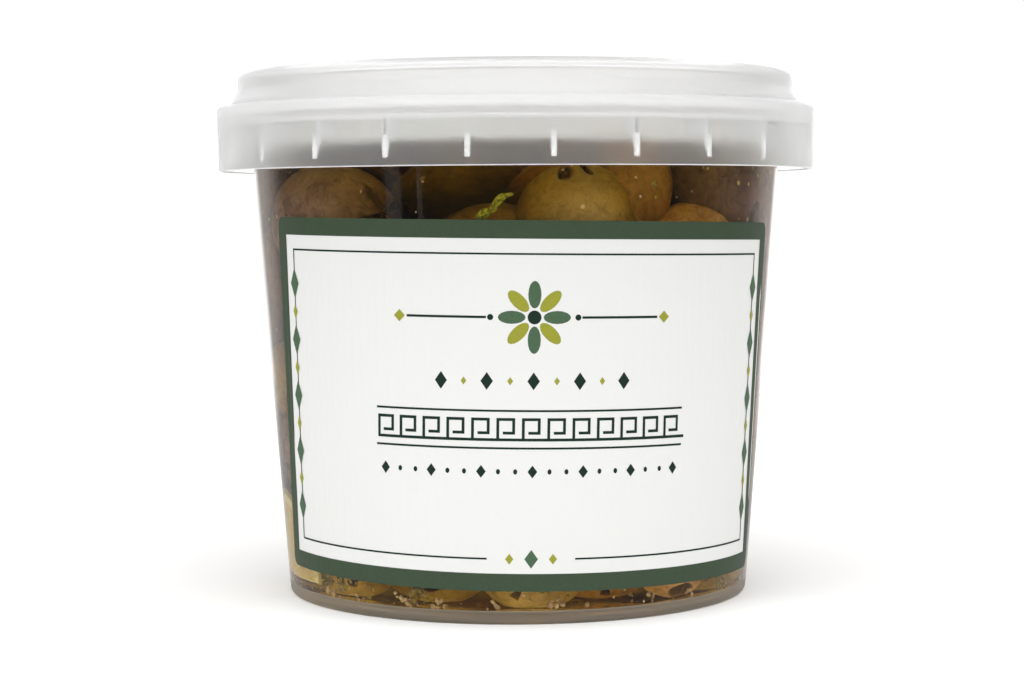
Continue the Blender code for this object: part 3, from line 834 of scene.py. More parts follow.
@dataclass
class Lid:
    """The frosted lid: a rounded ring over the tub's rim, a flared foot in the collar and a sunk panel."""

    form: TubForm = FORM
    foot_radius: float = 45.65 * MM
    foot_bottom: float = 75.95 * MM
    waist_height: float = 79.8 * MM
    ring_radius: float = 44.5 * MM
    ring_inner: float = 41.0 * MM
    wall: float = 0.8 * MM
    top: float = 82.7 * MM
    panel_bottom: float = 74.7 * MM
    panel_top: float = 75.6 * MM
    edge: float = 0.2 * MM
    bend: float = 0.8 * MM
    shoulder: float = 1.3 * MM

    def profile(self) -> list:
        """Works out the section from the middle of the panel's underside over the ring to its top side.

        Returns:
            A list of (radius, height) pairs.
        """
        form, edge, bend = self.form, self.edge, self.bend
        gap = form.clearance + 0.1 * MM
        plug = form.bore_radius(self.panel_bottom) - gap
        channel_top = form.rim_height + 0.4 * MM
        channel_in = form.bore_radius(channel_top) - gap
        channel_out = self.ring_radius - self.wall
        foot_in = self.foot_radius - self.wall - 0.15 * MM
        points = [(CORE_RADIUS, self.panel_bottom)]
        points += arc(plug - 0.5 * MM, self.panel_bottom + 0.5 * MM, 0.5 * MM, -90.0, 0.0, 5)
        points += arc(channel_in + edge, channel_top - edge, edge, 180.0, 90.0, 3)
        points += arc(channel_out - 0.5 * MM, channel_top - 0.4 * MM, 0.4 * MM, 90.0, 0.0, 4)
        points.append((channel_out, self.waist_height))
        points.append((foot_in, form.collar_top))
        points += arc(foot_in + edge, self.foot_bottom + edge, edge, 180.0, 270.0, 3)
        points += arc(self.foot_radius - edge, self.foot_bottom + edge, edge, -90.0, 0.0, 3)
        points.append((self.foot_radius, form.collar_top + edge))
        points += self.flare()
        points += arc(self.ring_radius - 1.4 * MM, self.top - self.shoulder, self.shoulder, 0.0, 90.0, 9)
        points += arc(self.ring_inner + bend, self.top - bend, bend, 90.0, 180.0, 7)
        points += arc(self.ring_inner - 0.5 * MM - bend, self.panel_top + bend, bend, 0.0, -90.0, 5)
        points.append((CORE_RADIUS, self.panel_top))
        return points

    def flare(self, steps: int = 6) -> list:
        """Works out the hollow curve of the outside from the foot up to the ring's waist.

        Args:
            steps: How many straight steps the curve has.

        Returns:
            A list of (radius, height) pairs.
        """
        low = self.form.collar_top + 0.4 * MM
        points = []
        for step in range(1, steps + 1):
            share = step / steps
            drop = (self.foot_radius - self.ring_radius) * (1.25 * share - 0.25 * share * share)
            points.append((self.foot_radius - drop, low + (self.waist_height - low) * share))
        return points

    def build(self) -> None:
        """Builds and dresses the lid: the ring is thick and milky, and the panel is thinner."""
        lid = turned("lid_shell", self.profile())
        outward(lid, merged=True)
        smooth(lid)
        dress(
            lid,
            FrostedPolypropylene("frosted_lid_polypropylene", roughness=0.28, transmission=0.58, gloss=0.28),
            FrostedPolypropylene("thin_panel_polypropylene", roughness=0.28),
        )
        for face in lid.data.polygons:
            middle = face.center
            outside = math.hypot(middle.x, middle.y) > self.ring_radius - self.wall + 0.1 * MM
            over = middle.z > self.form.rim_height + 0.8 * MM
            face.material_index = 0 if outside or over else 1
        publish(lid, "frosted_plastic", "lid")


class Ink(Enum):
    """Colours of the label: the film's own white and the printed inks."""

    WHITE = PrintedFilm("white_label_film", "#efefed", 0.004)
    BORDER = PrintedFilm("green_border_ink", "#42523f", 0.03)
    LINE = PrintedFilm("dark_green_ink", "#1d332b", 0.03)
    LEAF = PrintedFilm("leaf_green_ink", "#4f6b50", 0.03)
    LIME = PrintedFilm("lime_ink", "#9fa03a", 0.03)


@dataclass
class Label:
    """The wrapped label: white film, dark green border, thin frame line and plain geometric ornament."""

    form: TubForm = FORM
    width: float = 94.0 * MM
    height: float = 54.4 * MM
    corner: float = 1.5 * MM
    thickness: float = 0.09 * MM
    border: float = 2.65 * MM
    line_inset: float = 4.85 * MM
    line: float = 0.27 * MM
    layer: float = 0.012 * MM
    lift: float = 0.02 * MM
    middle_angle: float = 3.4
    middle_height: float = 32.2 * MM
    tilt: float = 0.8
    slice_step: float = 1.5 * MM
    gap_width: float = 13.0 * MM
    petals: int = 8
    rosette_height: float = 13.2 * MM
    rosette_radius: float = 3.3 * MM
    key_pitch: float = 3.7 * MM
    key_stroke: float = 0.42 * MM
    parts: list = field(default_factory=list)

    def keep(self, item: bpy.types.Object, ink: Ink, layer: int = 1, place: Matrix = UNMOVED) -> None:
        """Puts a flat shape in its place and on its layer, and keeps it for joining with its ink.

        Args:
            item: The shape.
            ink: Its ink.
            layer: Its layer over the film.
            place: Its place, turn and size on the label.
        """
        lift = Matrix.Translation((0.0, 0.0, self.thickness + layer * self.layer))
        item.data.transform(lift @ place)
        self.parts.append((item, ink))

    def bar(self, x: float, y: float, width: float, height: float) -> None:
        """Prints a dark bar.

        Args:
            x: The middle's distance to the right of the label's middle.
            y: The middle's distance above the label's middle.
            width: Its width.
            height: Its height.
        """
        item = primitive(bpy.ops.mesh.primitive_plane_add, size=1.0)
        place = Matrix.Translation((x, y, 0.0)) @ Matrix.Diagonal((width, height, 1.0, 1.0))
        self.keep(item, Ink.LINE, 1, place)

    def lozenge(
        self,
        x: float,
        y: float,
        width: float,
        height: float,
        ink: Ink,
        layer: int = 1,
        sides: int = 4,
        turn: float = 0.0,
    ) -> None:
        """Prints a lozenge, or an oval where it has more sides.

        Args:
            x: The middle's distance to the right of the label's middle.
            y: The middle's distance above the label's middle.
            width: Its width.
            height: Its height.
            ink: Its ink.
            layer: Its layer over the film.
            sides: How many sides it has.
            turn: Its turn, in radians.
        """
        add = bpy.ops.mesh.primitive_circle_add
        item = primitive(add, vertices=sides, radius=0.5, fill_type="NGON")
        size = Matrix.Rotation(turn, 4, "Z") @ Matrix.Diagonal((width, height, 1.0, 1.0))
        self.keep(item, ink, layer, Matrix.Translation((x, y, 0.0)) @ size)

    def blank(self) -> bpy.types.Object:
        """Starts a flat rectangle of the label's size.

        Returns:
            The rectangle, in edit mode with everything selected.
        """
        item = primitive(bpy.ops.mesh.primitive_plane_add, size=1.0)
        item.data.transform(Matrix.Diagonal((self.width, self.height, 1.0, 1.0)))
        edit_all(item)
        return item

    def film(self) -> None:
        """Adds the white film, a thin rounded rectangle."""
        item = self.blank()
        bpy.ops.mesh.bevel(offset=self.corner, segments=6, affect="VERTICES")
        bpy.ops.mesh.select_all(action="SELECT")
        extrude(0.0, 0.0, self.thickness)
        outward(item)
        self.parts.append((item, Ink.WHITE))

    def green_border(self) -> None:
        """Adds the printed border: a rounded ring with a square-cornered inside."""
        item = self.blank()
        bpy.ops.mesh.inset(thickness=self.border)
        bpy.ops.mesh.delete(type="FACE")
        bpy.ops.mesh.select_mode(type="VERT")
        bm = bmesh.from_edit_mesh(item.data)
        side, top = self.width / 2.0 - 0.1 * MM, self.height / 2.0 - 0.1 * MM
        for vert in bm.verts:
            vert.select_set(abs(vert.co.x) > side and abs(vert.co.y) > top)
        bmesh.update_edit_mesh(item.data)
        bpy.ops.mesh.bevel(offset=self.corner, segments=6, affect="VERTICES")
        leave_edit()
        self.keep(item, Ink.BORDER)

    def frame_line(self) -> None:
        """Adds the thin frame line, with a gap in the middle of its bottom side."""
        half_w = self.width / 2.0 - self.line_inset
        half_h = self.height / 2.0 - self.line_inset
        run = half_w - self.gap_width / 2.0
        self.bar(0.0, half_h, 2.0 * half_w + self.line, self.line)
        for side in (-1.0, 1.0):
            self.bar(side * half_w, 0.0, self.line, 2.0 * half_h)
            self.bar(side * (self.gap_width / 2.0 + run / 2.0), -half_h, run, self.line)

    def ornament(self) -> None:
        """Adds the generic ornament: a rosette between rules, a key band, and rows of lozenges."""
        level = self.rosette_height
        for k in range(self.petals):
            turn = math.radians(360.0 * k / self.petals)
            x, y = self.rosette_radius * math.cos(turn), level + self.rosette_radius * math.sin(turn)
            self.lozenge(x, y, 4.0 * MM, 1.9 * MM, Ink.LIME if k % 2 else Ink.LEAF, 1, 16, turn)
        self.lozenge(0.0, level, 2.0 * MM, 2.0 * MM, Ink.LINE, 2, 24)
        for side in (-1.0, 1.0):
            self.bar(side * 13.0 * MM, level, 12.0 * MM, 0.35 * MM)
            self.lozenge(side * 20.2 * MM, level, 1.8 * MM, 1.8 * MM, Ink.LIME)
            self.lozenge(side * 6.4 * MM, level, 0.9 * MM, 0.9 * MM, Ink.LINE, 1, 16)
        self.key_band(-3.2 * MM, 4.4 * MM, 13)
        for k in range(-4, 5):
            size = 1.2 * MM if k % 2 else 2.6 * MM
            self.lozenge(k * 3.4 * MM, 3.9 * MM, size * 0.7, size, Ink.LIME if k % 2 else Ink.LINE)
            tall = 2.4 * MM if k % 2 else 4.6 * MM
            for side in (-1.0, 1.0):
                x = side * (self.width / 2.0 - self.line_inset)
                self.lozenge(x, k * 4.3 * MM, tall * 0.5, tall, Ink.LIME if k % 2 else Ink.LEAF, 2)
        for k in range(-9, 10):
            size, sides = (0.8 * MM, 12) if k % 3 else (1.9 * MM, 4)
            self.lozenge(k * 2.5 * MM, -9.4 * MM, size * 0.75, size, Ink.LINE, 1, sides)
        bottom = -(self.height / 2.0 - self.line_inset)
        self.lozenge(0.0, bottom, 2.0 * MM, 2.8 * MM, Ink.LEAF)
        for side in (-1.0, 1.0):
            self.lozenge(side * 3.2 * MM, bottom, 1.2 * MM, 1.6 * MM, Ink.LIME)

    def key_band(self, middle: float, height: float, count: int) -> None:
        """Adds a traditional key pattern between two rules.

        Args:
            middle: The height of the band's middle.
            height: The height between the rules.
            count: How many keys the band has.
        """
        pitch, stroke = self.key_pitch, self.key_stroke
        length = pitch * count
        for edge in (-1.0, 1.0):
            self.bar(0.0, middle + edge * (height / 2.0 + 0.55 * MM), length, 0.3 * MM)
        low = middle - height * 0.34
        high = middle + height * 0.34
        hook = middle - 0.5 * MM
        for k in range(count):
            left = -length / 2.0 + pitch * k + 0.45 * MM
            right = left + 2.3 * MM
            inner = left + 0.95 * MM
            self.bar(left, middle, stroke, high - low + stroke)
            self.bar((left + right) / 2.0, high, right - left + stroke, stroke)
            self.bar(right, (high + hook) / 2.0, stroke, high - hook)
            self.bar((inner + right) / 2.0, hook, right - inner + stroke, stroke)
            self.bar(left + pitch / 2.0, low, pitch, stroke)

    def slice_upright(self, item: bpy.types.Object) -> None:
        """Cuts a flat mesh by upright lines, so that it bends evenly when it is wrapped.

        Args:
            item: The mesh's object.
        """
        edit_all(item)
        count = int(self.width / self.slice_step)
        for k in range(1, count):
            x = -self.width / 2.0 + self.width * k / count
            bpy.ops.mesh.select_all(action="SELECT")
            bpy.ops.mesh.bisect(plane_co=(x, 0.0, 0.0), plane_no=(1.0, 0.0, 0.0))
        leave_edit()

    def build(self) -> None:
        """Builds, wraps and dresses the label."""
        self.film()
        self.green_border()
        self.frame_line()
        self.ornament()
        inks = {ink: ink.value.build() for ink in Ink}
        for item, ink in self.parts:
            item.data.materials.clear()
            item.data.materials.append(inks[ink])
        label = join([item for item, _ in self.parts], "label_print")
        self.slice_upright(label)
        for vert in label.data.vertices:
            x, y, z = vert.co
            depth = self.lift + z
            vert.co = self.form.wrapped(x, y, depth, self.middle_angle, self.middle_height, self.tilt)
        label.data.update()
        publish(label, "label_film", "label")


class Olive(NamedTuple):
    """One olive: the middle of the fruit, its long axis, its length and its width."""

    centre: Vector
    axis: Vector
    length: float
    width: float


@dataclass
class Packing:
    """Works out where each olive lies, by the same rule as the solid heap.

    The rows of front and gaps hold an angle round the tub, a height, a lean from upright in degrees, a
    length, a width and a depth behind the wall, with all lengths in millimetres.
    """

    form: TubForm = FORM
    count: int = 96
    seed: int = 11
    length: float = 22.5 * MM
    width: float = 15.0 * MM
    press: float = 0.9 * MM
    steps: int = 320
    rate: float = 0.35
    pull: float = 0.12 * MM
    least: float = 0.01 * MM
    lemon_angle: float = -76.0
    lemon_height: float = 3.6 * MM
    lemon_radius: float = 13.5 * MM
    lemon_thickness: float = 4.0 * MM
    front: tuple = (
        (-54.5, 59.4, 84.0, 25.0, 17.0, 0.0),
        (-81.0, 49.5, 10.0, 20.5, 13.5, 0.0),
        (-29.0, 48.8, 12.0, 22.0, 14.0, 0.0),
        (-8.0, 53.8, 72.0, 22.0, 15.5, 4.5),
        (15.5, 56.6, -6.0, 23.5, 16.4, 0.0),
        (29.0, 63.0, 20.0, 20.0, 13.0, 5.0),
        (45.0, 53.8, 58.0, 22.5, 15.0, 0.0),
        (75.0, 57.0, -10.0, 23.0, 15.5, 0.0),
    )
    gaps: tuple = (
        (-19.0, 65.6, 88.0, 27.0, 12.5, 0.0),
        (-19.0, 65.6, 88.0, 24.0, 12.5, 9.0),
        (50.0, 66.8, 80.0, 22.0, 8.6, 0.0),
    )

    def placed(
        self, angle: float, height: float, lean: float, length: float, width: float, depth: float
    ) -> Olive:
        """Places an olive that touches the wall.

        Args:
            angle: Its angle round the tub.
            height: Its height.
            lean: How far it leans from upright towards +angle, in degrees.
            length: Its length.
            width: Its width.
            depth: How far behind the wall it lies.

        Returns:
            The olive.
        """
        turn = math.radians(angle)
        along = Vector((math.cos(turn), math.sin(turn), 0.0))
        tip = math.radians(lean)
        axis = Vector((0.0, 0.0, math.cos(tip))) + along * math.sin(tip)
        sagitta = (length / 3.0 * math.sin(tip)) ** 2 / (2.0 * self.form.bore_radius(height))
        radius = self.form.bore_radius(height) - self.form.clearance - width / 2.0 - sagitta - depth
        return Olive(self.form.on_circle(angle, radius, height), axis, length, width)

    def by_hand(self, table: tuple) -> list[Olive]:
        """The olives, or gaps shaped as olives, that a table of places in millimetres sets."""
        return [
            self.placed(angle, height * MM, lean, length * MM, width * MM, depth * MM)
            for angle, height, lean, length, width, depth in table
        ]

    def lemon_neighbours(self) -> list[Olive]:
        """Places flat-lying stand-ins that keep the olives off the lemon.

        Returns:
            The two stand-ins.
        """
        angle, low, radius = self.lemon_angle, self.lemon_height, self.lemon_radius
        width = self.lemon_thickness + 2.0 * MM
        return [
            self.placed(angle, low + rise, 90.0, ratio * radius, width, 0.0)
            for rise, ratio in ((2.5 * MM, 1.8), (8.0 * MM, 1.4))
        ]

    def loose_olives(self, rng: random.Random, count: int) -> list[Olive]:
        """Makes olives of uneven size at random places and turns.

        Args:
            rng: The source of chance.
            count: How many.

        Returns:
            The olives.
        """
        form = self.form
        olives = []
        for _ in range(count):
            size = min(max(rng.gauss(1.0, 0.07), 0.86), 1.14)
            stretch = min(max(rng.gauss(1.0, 0.06), 0.88), 1.12)
            height = form.floor_top + (form.fill_level - form.floor_top) * rng.uniform(0.06, 0.94)
            radius = (form.bore_radius(height) - self.width / 2.0) * math.sqrt(rng.random())
            rise = rng.uniform(-0.8, 0.8)
            flat = math.sqrt(1.0 - rise * rise)
            heading = rng.uniform(0.0, 2.0 * math.pi)
            axis = Vector((flat * math.cos(heading), flat * math.sin(heading), rise))
            centre = form.on_circle(rng.uniform(0.0, 360.0), radius, height)
            length, width = self.length * size * stretch, self.width * size / math.sqrt(stretch)
            olives.append(Olive(centre, axis, length, width))
        return olives

    @staticmethod
    def girth(half_width: np.ndarray, place: np.ndarray | float) -> np.ndarray:
        """Radius of an olive at a place from 0 to 1 between the points that carry its ends."""
        return half_width * (1.0 - 0.28 * (2.0 * place - 1.0) ** 2)

    @staticmethod
    def nearest(point: np.ndarray, start: np.ndarray, run: np.ndarray) -> np.ndarray:
        """Places from 0 to 1 along straight runs where each is closest to its point."""
        return np.clip(((point - start) * run).sum(axis=1) / (run * run).sum(axis=1), 0.0, 1.0)

    def back_inside(self, point: np.ndarray, size: np.ndarray) -> np.ndarray:
        """Works out the moves that bring balls back inside the wall, the floor and the fill level.

        Args:
            point: The balls' middles.
            size: The balls' radii.

        Returns:
            A move for each ball.
        """
        form = self.form
        limit = form.bore_radius(point[:, 2]) - form.clearance - size
        radius = np.maximum(np.hypot(point[:, 0], point[:, 1]), self.least)
        shift = -point * (np.maximum(radius - limit, 0.0) / radius)[:, None]
        up = np.maximum(form.floor_top + form.clearance + size - point[:, 2], 0.0)
        shift[:, 2] = up - np.maximum(point[:, 2] + size - form.fill_level, 0.0)
        return shift

    def settle(self, olives: list[Olive], fixed_count: int) -> list[Olive]:
        """Pushes the olives apart and inside the bore, step by step.

        Args:
            olives: Every olive, the fixed ones first.
            fixed_count: How many of them stay still.

        Returns:
            The olives in their last places.
        """
        width = np.array([olive.width for olive in olives])
        reach = np.array([olive.length for olive in olives]) / 2.0 - 0.72 * width / 2.0
        middle = np.array([olive.centre for olive in olives], dtype=float)
        axis = np.array([olive.axis for olive in olives], dtype=float)
        free = np.arange(len(olives)) >= fixed_count
        first, second = np.triu_indices(len(olives), 1)
        share_first = np.where(free[first], np.where(free[second], 0.5, 1.0), 0.0)
        share_second = np.where(free[second], np.where(free[first], 0.5, 1.0), 0.0)
        for step in range(self.steps):
            low = middle - axis * reach[:, None]
            high = middle + axis * reach[:, None]
            run = high - low
            pull = self.pull * max(1.0 - 1.3 * step / self.steps, 0.0)
            out = middle * (1.0, 1.0, 0.0) / np.hypot(middle[:, 0], middle[:, 1])[:, None]
            shift_low = pull * out
            shift_high = pull * out
            place_a = np.full(len(first), 0.5)
            for _ in range(4):
                point = low[first] + run[first] * place_a[:, None]
                place_b = self.nearest(point, low[second], run[second])
                point = low[second] + run[second] * place_b[:, None]
                place_a = self.nearest(point, low[first], run[first])
            gap = low[first] + run[first] * place_a[:, None] - low[second] - run[second] * place_b[:, None]
            distance = np.maximum(np.sqrt((gap * gap).sum(axis=1)), self.least)
            girth_a = self.girth(width[first] / 2.0, place_a)
            girth_b = self.girth(width[second] / 2.0, place_b)
            touch = girth_a + girth_b - self.press
            push = gap / distance[:, None] * (np.maximum(touch - distance, 0.0) * self.rate)[:, None]
            for rows, places, shares in ((first, place_a, share_first), (second, place_b, -share_second)):
                np.add.at(shift_low, rows, push * ((1.0 - places) * shares)[:, None])
                np.add.at(shift_high, rows, push * (places * shares)[:, None])
            for place in (0.0, 0.5, 1.0):
                shift = self.back_inside(low + run * place, self.girth(width / 2.0, place))
                shift_low += shift * (1.0 - place)
                shift_high += shift * place
            low = low + shift_low * free[:, None]
            high = high + shift_high * free[:, None]
            middle = (low + high) / 2.0
            axis = (high - low) / np.sqrt(((high - low) ** 2).sum(axis=1))[:, None]
        return [
            olive._replace(centre=Vector(middle[k]), axis=Vector(axis[k])) for k, olive in enumerate(olives)
        ]

    def olives(self) -> list[Olive]:
        """Places every olive of the heap.

        Returns:
            The olives in their last places, the front ones first.
        """
        fixed = self.by_hand(self.front) + self.by_hand(self.gaps) + self.lemon_neighbours()
        loose = self.loose_olives(random.Random(self.seed), self.count - len(self.front))
        settled = self.settle(fixed + loose, len(fixed))
        return settled[: len(self.front)] + settled[len(fixed) :]


def press_in(mesh: bpy.types.Mesh, form: TubForm) -> None:
    """Presses points that would cross the wall or the floor back inside, as soft fruit lies against it.

    Args:
        mesh: The mesh, in the frame's coordinates.
        form: The tub's sizes.
    """
    for vert in mesh.vertices:
        vert.co.z = max(vert.co.z, form.floor_top + form.clearance * 0.5)
        limit = form.bore_radius(vert.co.z) - 0.12 * MM
        radius = math.hypot(vert.co.x, vert.co.y)
        if radius > limit:
            vert.co.x *= limit / radius
            vert.co.y *= limit / radius


@dataclass
class Olives:
    """The heap: real olives of three kinds at the packing's places, each pitted at one end."""

    form: TubForm = FORM
    packing: Packing = field(default_factory=Packing)
    sides: int = 32
    rings: int = 20
    variants: int = 5
    variant_step: float = 50.0 * MM
    crisp_angle: float = 50.0
    fade_start: float = 4.5 * MM
    fade_end: float = 13.5 * MM
    low_light: float = 18.0 * MM
    top_light_start: float = 60.0 * MM
    top_light_end: float = 66.0 * MM
    torn_index: int = 4
    flipped: tuple = (0,)
    front_tones: tuple = (0.2, 0.3, 0.2, 0.5, 0.35, 0.5, 0.0, 0.3)
    front_kinds: tuple = (
        OliveKind.PLUM,
        OliveKind.PLUM,
        OliveKind.AMBER,
        OliveKind.AMBER,
        OliveKind.GREEN,
        OliveKind.AMBER,
        OliveKind.AMBER,
        OliveKind.PLUM,
    )
    skins: tuple = (
        OliveSkin(OliveKind.PLUM, "#b28a7c", "#8e695e", "#6c4c46", "#432c2a", 0.5, 0.5),
        OliveSkin(OliveKind.AMBER, "#ecb286", "#c48e64", "#9c724e", "#7a4e36", 0.25, 0.45),
        OliveSkin(OliveKind.GREEN, "#d0a65a", "#b28a4a", "#8e6c36", "#665028", 0.2, 0.35),
    )

    def model(self, variant: int, fine: bool = False, torn: bool = False) -> bpy.types.Object:
        """Models one olive at its standard size: a blunt spindle with a pit hole and a cut tip.

        Args:
            variant: Which of the uneven shapes it gets.
            fine: Whether it gets four times the faces, as the olives that show close by need.
            torn: Whether the skin is torn in two slits from the hole down its +X side.

        Returns:
            The olive, with its hole towards +Z.
        """
        item = primitive(
            bpy.ops.mesh.primitive_uv_sphere_add, segments=self.sides, ring_count=self.rings, radius=1.0
        )
        edit_all(item)
        hole_edge = math.cos(math.radians(180.0 / self.rings * 2.2))
        select_faces(item, lambda middle: middle.z > hole_edge)
        bpy.ops.mesh.inset(thickness=0.03)
        for drop, scale in ((-0.05, 0.9), (-0.2, 0.85), (-0.5, 0.9), (-0.4, 0.8)):
            extrude(0.0, 0.0, drop)
            bpy.ops.transform.resize(value=(scale, scale, 1.0))
        select_faces(item, self.in_slit)
        extrude(0.0, 0.0, 0.08)
        bpy.ops.transform.resize(value=(0.85, 0.85, 1.0))
        if torn:
            for low, high in ((-34.0, -11.0), (11.0, 23.0)):
                select_faces(item, lambda middle: self.in_tear(middle, low, high))
                extrude(-0.16, 0.0, -0.08)
                bpy.ops.transform.resize(value=(1.0, 0.7, 0.85))
        leave_edit()
        self.shape(item, torn)
        aside = Matrix.Translation((variant * self.variant_step, 0.0, 0.0))
        item.data.transform(aside)
        if fine:
            item.modifiers.new("finer", "SUBSURF").levels = 1
        lumps = ((7.0 * MM, 0.9 * MM), (2.4 * MM, 0.3 * MM), (1.1 * MM, 0.14 * MM))
        for size, strength in lumps[: 3 if fine else 2]:
            dent(item, "CLOUDS", size, strength)
        apply_all(item)
        item.data.transform(aside.inverted())
        return item

    def shape(self, item: bpy.types.Object, torn: bool) -> None:
        """Marks the pit hole and the cuts on a unit olive, and then gives it its blunt spindle shape.

        Args:
            item: The olive.
            torn: Whether its skin is torn.
        """
        pits = []
        for vert in item.data.vertices:
            radius = math.hypot(vert.co.x, vert.co.y)
            skin = math.sqrt(max(1.0 - vert.co.z**2, 0.0))
            hollow = radius < 0.4 and -0.5 < vert.co.z and radius < skin - 0.03
            slit = (torn or vert.co.z < -0.5) and math.hypot(radius, vert.co.z) < 0.96
            pits.append(float(hollow or slit))
            blunt = 1.0 + 0.06 * (1.0 - vert.co.z**2) + (0.2 if torn else 0.06) * vert.co.z**2
            vert.co.x *= self.packing.width / 2.0 * blunt
            vert.co.y *= self.packing.width / 2.0 * blunt
            vert.co.z *= self.packing.length / 2.0
        set_values(item.data, "pit", pits)

    @staticmethod
    def in_slit(point: Vector) -> bool:
        """True for a place on the unit olive's lower tip that belongs to the cross-shaped cut."""
        around = math.degrees(math.atan2(point.y, point.x)) % 90.0
        return point.z < -0.9 and abs(around - 45.0) > 38.0

    @staticmethod
    def in_tear(point: Vector, low: float, high: float) -> bool:
        """True for a place on the unit olive's skin by the hole, between two angles round from +X."""
        around = math.degrees(math.atan2(point.y, point.x))
        return point.length > 0.93 and 0.76 < point.z < 0.97 and low < around < high

    @staticmethod
    def low_in_front(olive: Olive) -> bool:
        """True for an olive that shows in the strip under the label."""
        angle = math.degrees(math.atan2(olive.centre.x, -olive.centre.y))
        return olive.centre.z < 15.0 * MM and -75.0 < angle < 60.0

    @staticmethod
    def eased(low: float, high: float, value: float) -> float:
        """Rises softly from 0 at low to 1 at high."""
        share = min(max((value - low) / (high - low), 0.0), 1.0)
        return share * share * (3.0 - 2.0 * share)

    def gloom(self, place: Vector, facing: Vector) -> float:
        """How far the light has faded at a point, from 0 at the wall or under the lid to 1 between olives.

        Args:
            place: The point.
            facing: Which way the skin faces there.

        Returns:
            The share of painted shade, an oil brown, that darkens the skin.
        """
        depth = self.form.bore_radius(place.z) - math.hypot(place.x, place.y)
        deep = self.eased(self.fade_start, self.fade_end, depth)
        low = 0.9 * self.eased(1.0 * MM, self.low_light, place.z)
        top = self.eased(0.2, 0.75, facing.z) * self.eased(self.top_light_start, self.top_light_end, place.z)
        # Painted shade: deep between olives, lifted near the floor and on tops under the lid, where light
        # falls.
        return deep * low * (1.0 - 0.85 * top)

    def kind_of(self, index: int, olive: Olive, rng: random.Random) -> OliveKind:
        """Picks an olive's kind, from a given list for the front ones and by place and chance for the rest.

        Args:
            index: Its number in the packing.
            olive: The olive.
            rng: The source of chance, always drawn from once.

        Returns:
            The kind.
        """
        draw = rng.random()
        if index < len(self.front_kinds):
            return self.front_kinds[index]
        if self.low_in_front(olive):
            return OliveKind.GREEN if olive.centre.x < -0.14 * olive.centre.y else OliveKind.AMBER
        if draw < 0.56:
            return OliveKind.PLUM
        return OliveKind.AMBER if draw < 0.86 else OliveKind.GREEN

    def place(self, index: int, olive: Olive, patterns: list, rng: random.Random) -> bpy.types.Object:
        """Puts a copy of a pattern at an olive's place, with its tone.

        Args:
            index: The olive's number in the packing.
            olive: The olive.
            patterns: The plain patterns, the fine ones and the torn one.
            rng: The source of chance.

        Returns:
            The copy.
        """
        in_front = index < len(self.front_kinds)
        choice = index % self.variants + (self.variants if in_front else 0)
        copy = duplicate(patterns[-1 if index == self.torn_index else choice])
        flip = index in self.flipped if in_front else rng.random() < 0.5
        wide, long = olive.width / self.packing.width, olive.length / self.packing.length
        turn = olive.axis.to_track_quat("Z", "Y").to_matrix().to_4x4()
        outside = turn.inverted() @ Vector((olive.centre.x, olive.centre.y, 0.0))
        facing = math.atan2(outside.y, outside.x)
        spin = facing if in_front and not flip else rng.uniform(0.0, FULL_TURN)
        size = Matrix.Diagonal((wide, wide, long, 1.0))
        inner = Matrix.Rotation(math.pi if flip else 0.0, 4, "X") @ Matrix.Rotation(spin, 4, "Z") @ size
        copy.data.transform(Matrix.Translation(olive.centre) @ turn @ inner)
        press_in(copy.data, self.form)
        tone = self.front_tones[index] if in_front else rng.uniform(0.0, 0.75)
        tone *= 0.2 if self.low_in_front(olive) else 1.0
        set_values(copy.data, "tone", [tone] * len(copy.data.vertices))
        return copy

    def build(self) -> None:
        """Builds and dresses the olives, one piece for each kind."""
        rng = random.Random(self.packing.seed + 2)
        patterns = [self.model(k) for k in range(self.variants)]
        patterns += [self.model(k, fine=True) for k in range(self.variants)]
        patterns.append(self.model(self.variants, fine=True, torn=True))
        groups: dict[OliveKind, list] = {kind: [] for kind in OliveKind}
        for index, olive in enumerate(self.packing.olives()):
            kind = self.kind_of(index, olive, rng)
            groups[kind].append(self.place(index, olive, patterns, rng))
        discard(*patterns)
        for skin in self.skins:
            piece = join(groups[skin.kind], f"olives_{skin.kind.value}")
            dress(piece, skin)
            outward(piece)
            smooth(piece, self.crisp_angle)
            points = piece.data.vertices
            # The share of painted shade at each point.
            set_values(piece.data, "gloom", [self.gloom(vert.co, vert.normal) for vert in points])
            publish(piece, "olive_flesh", "olives")


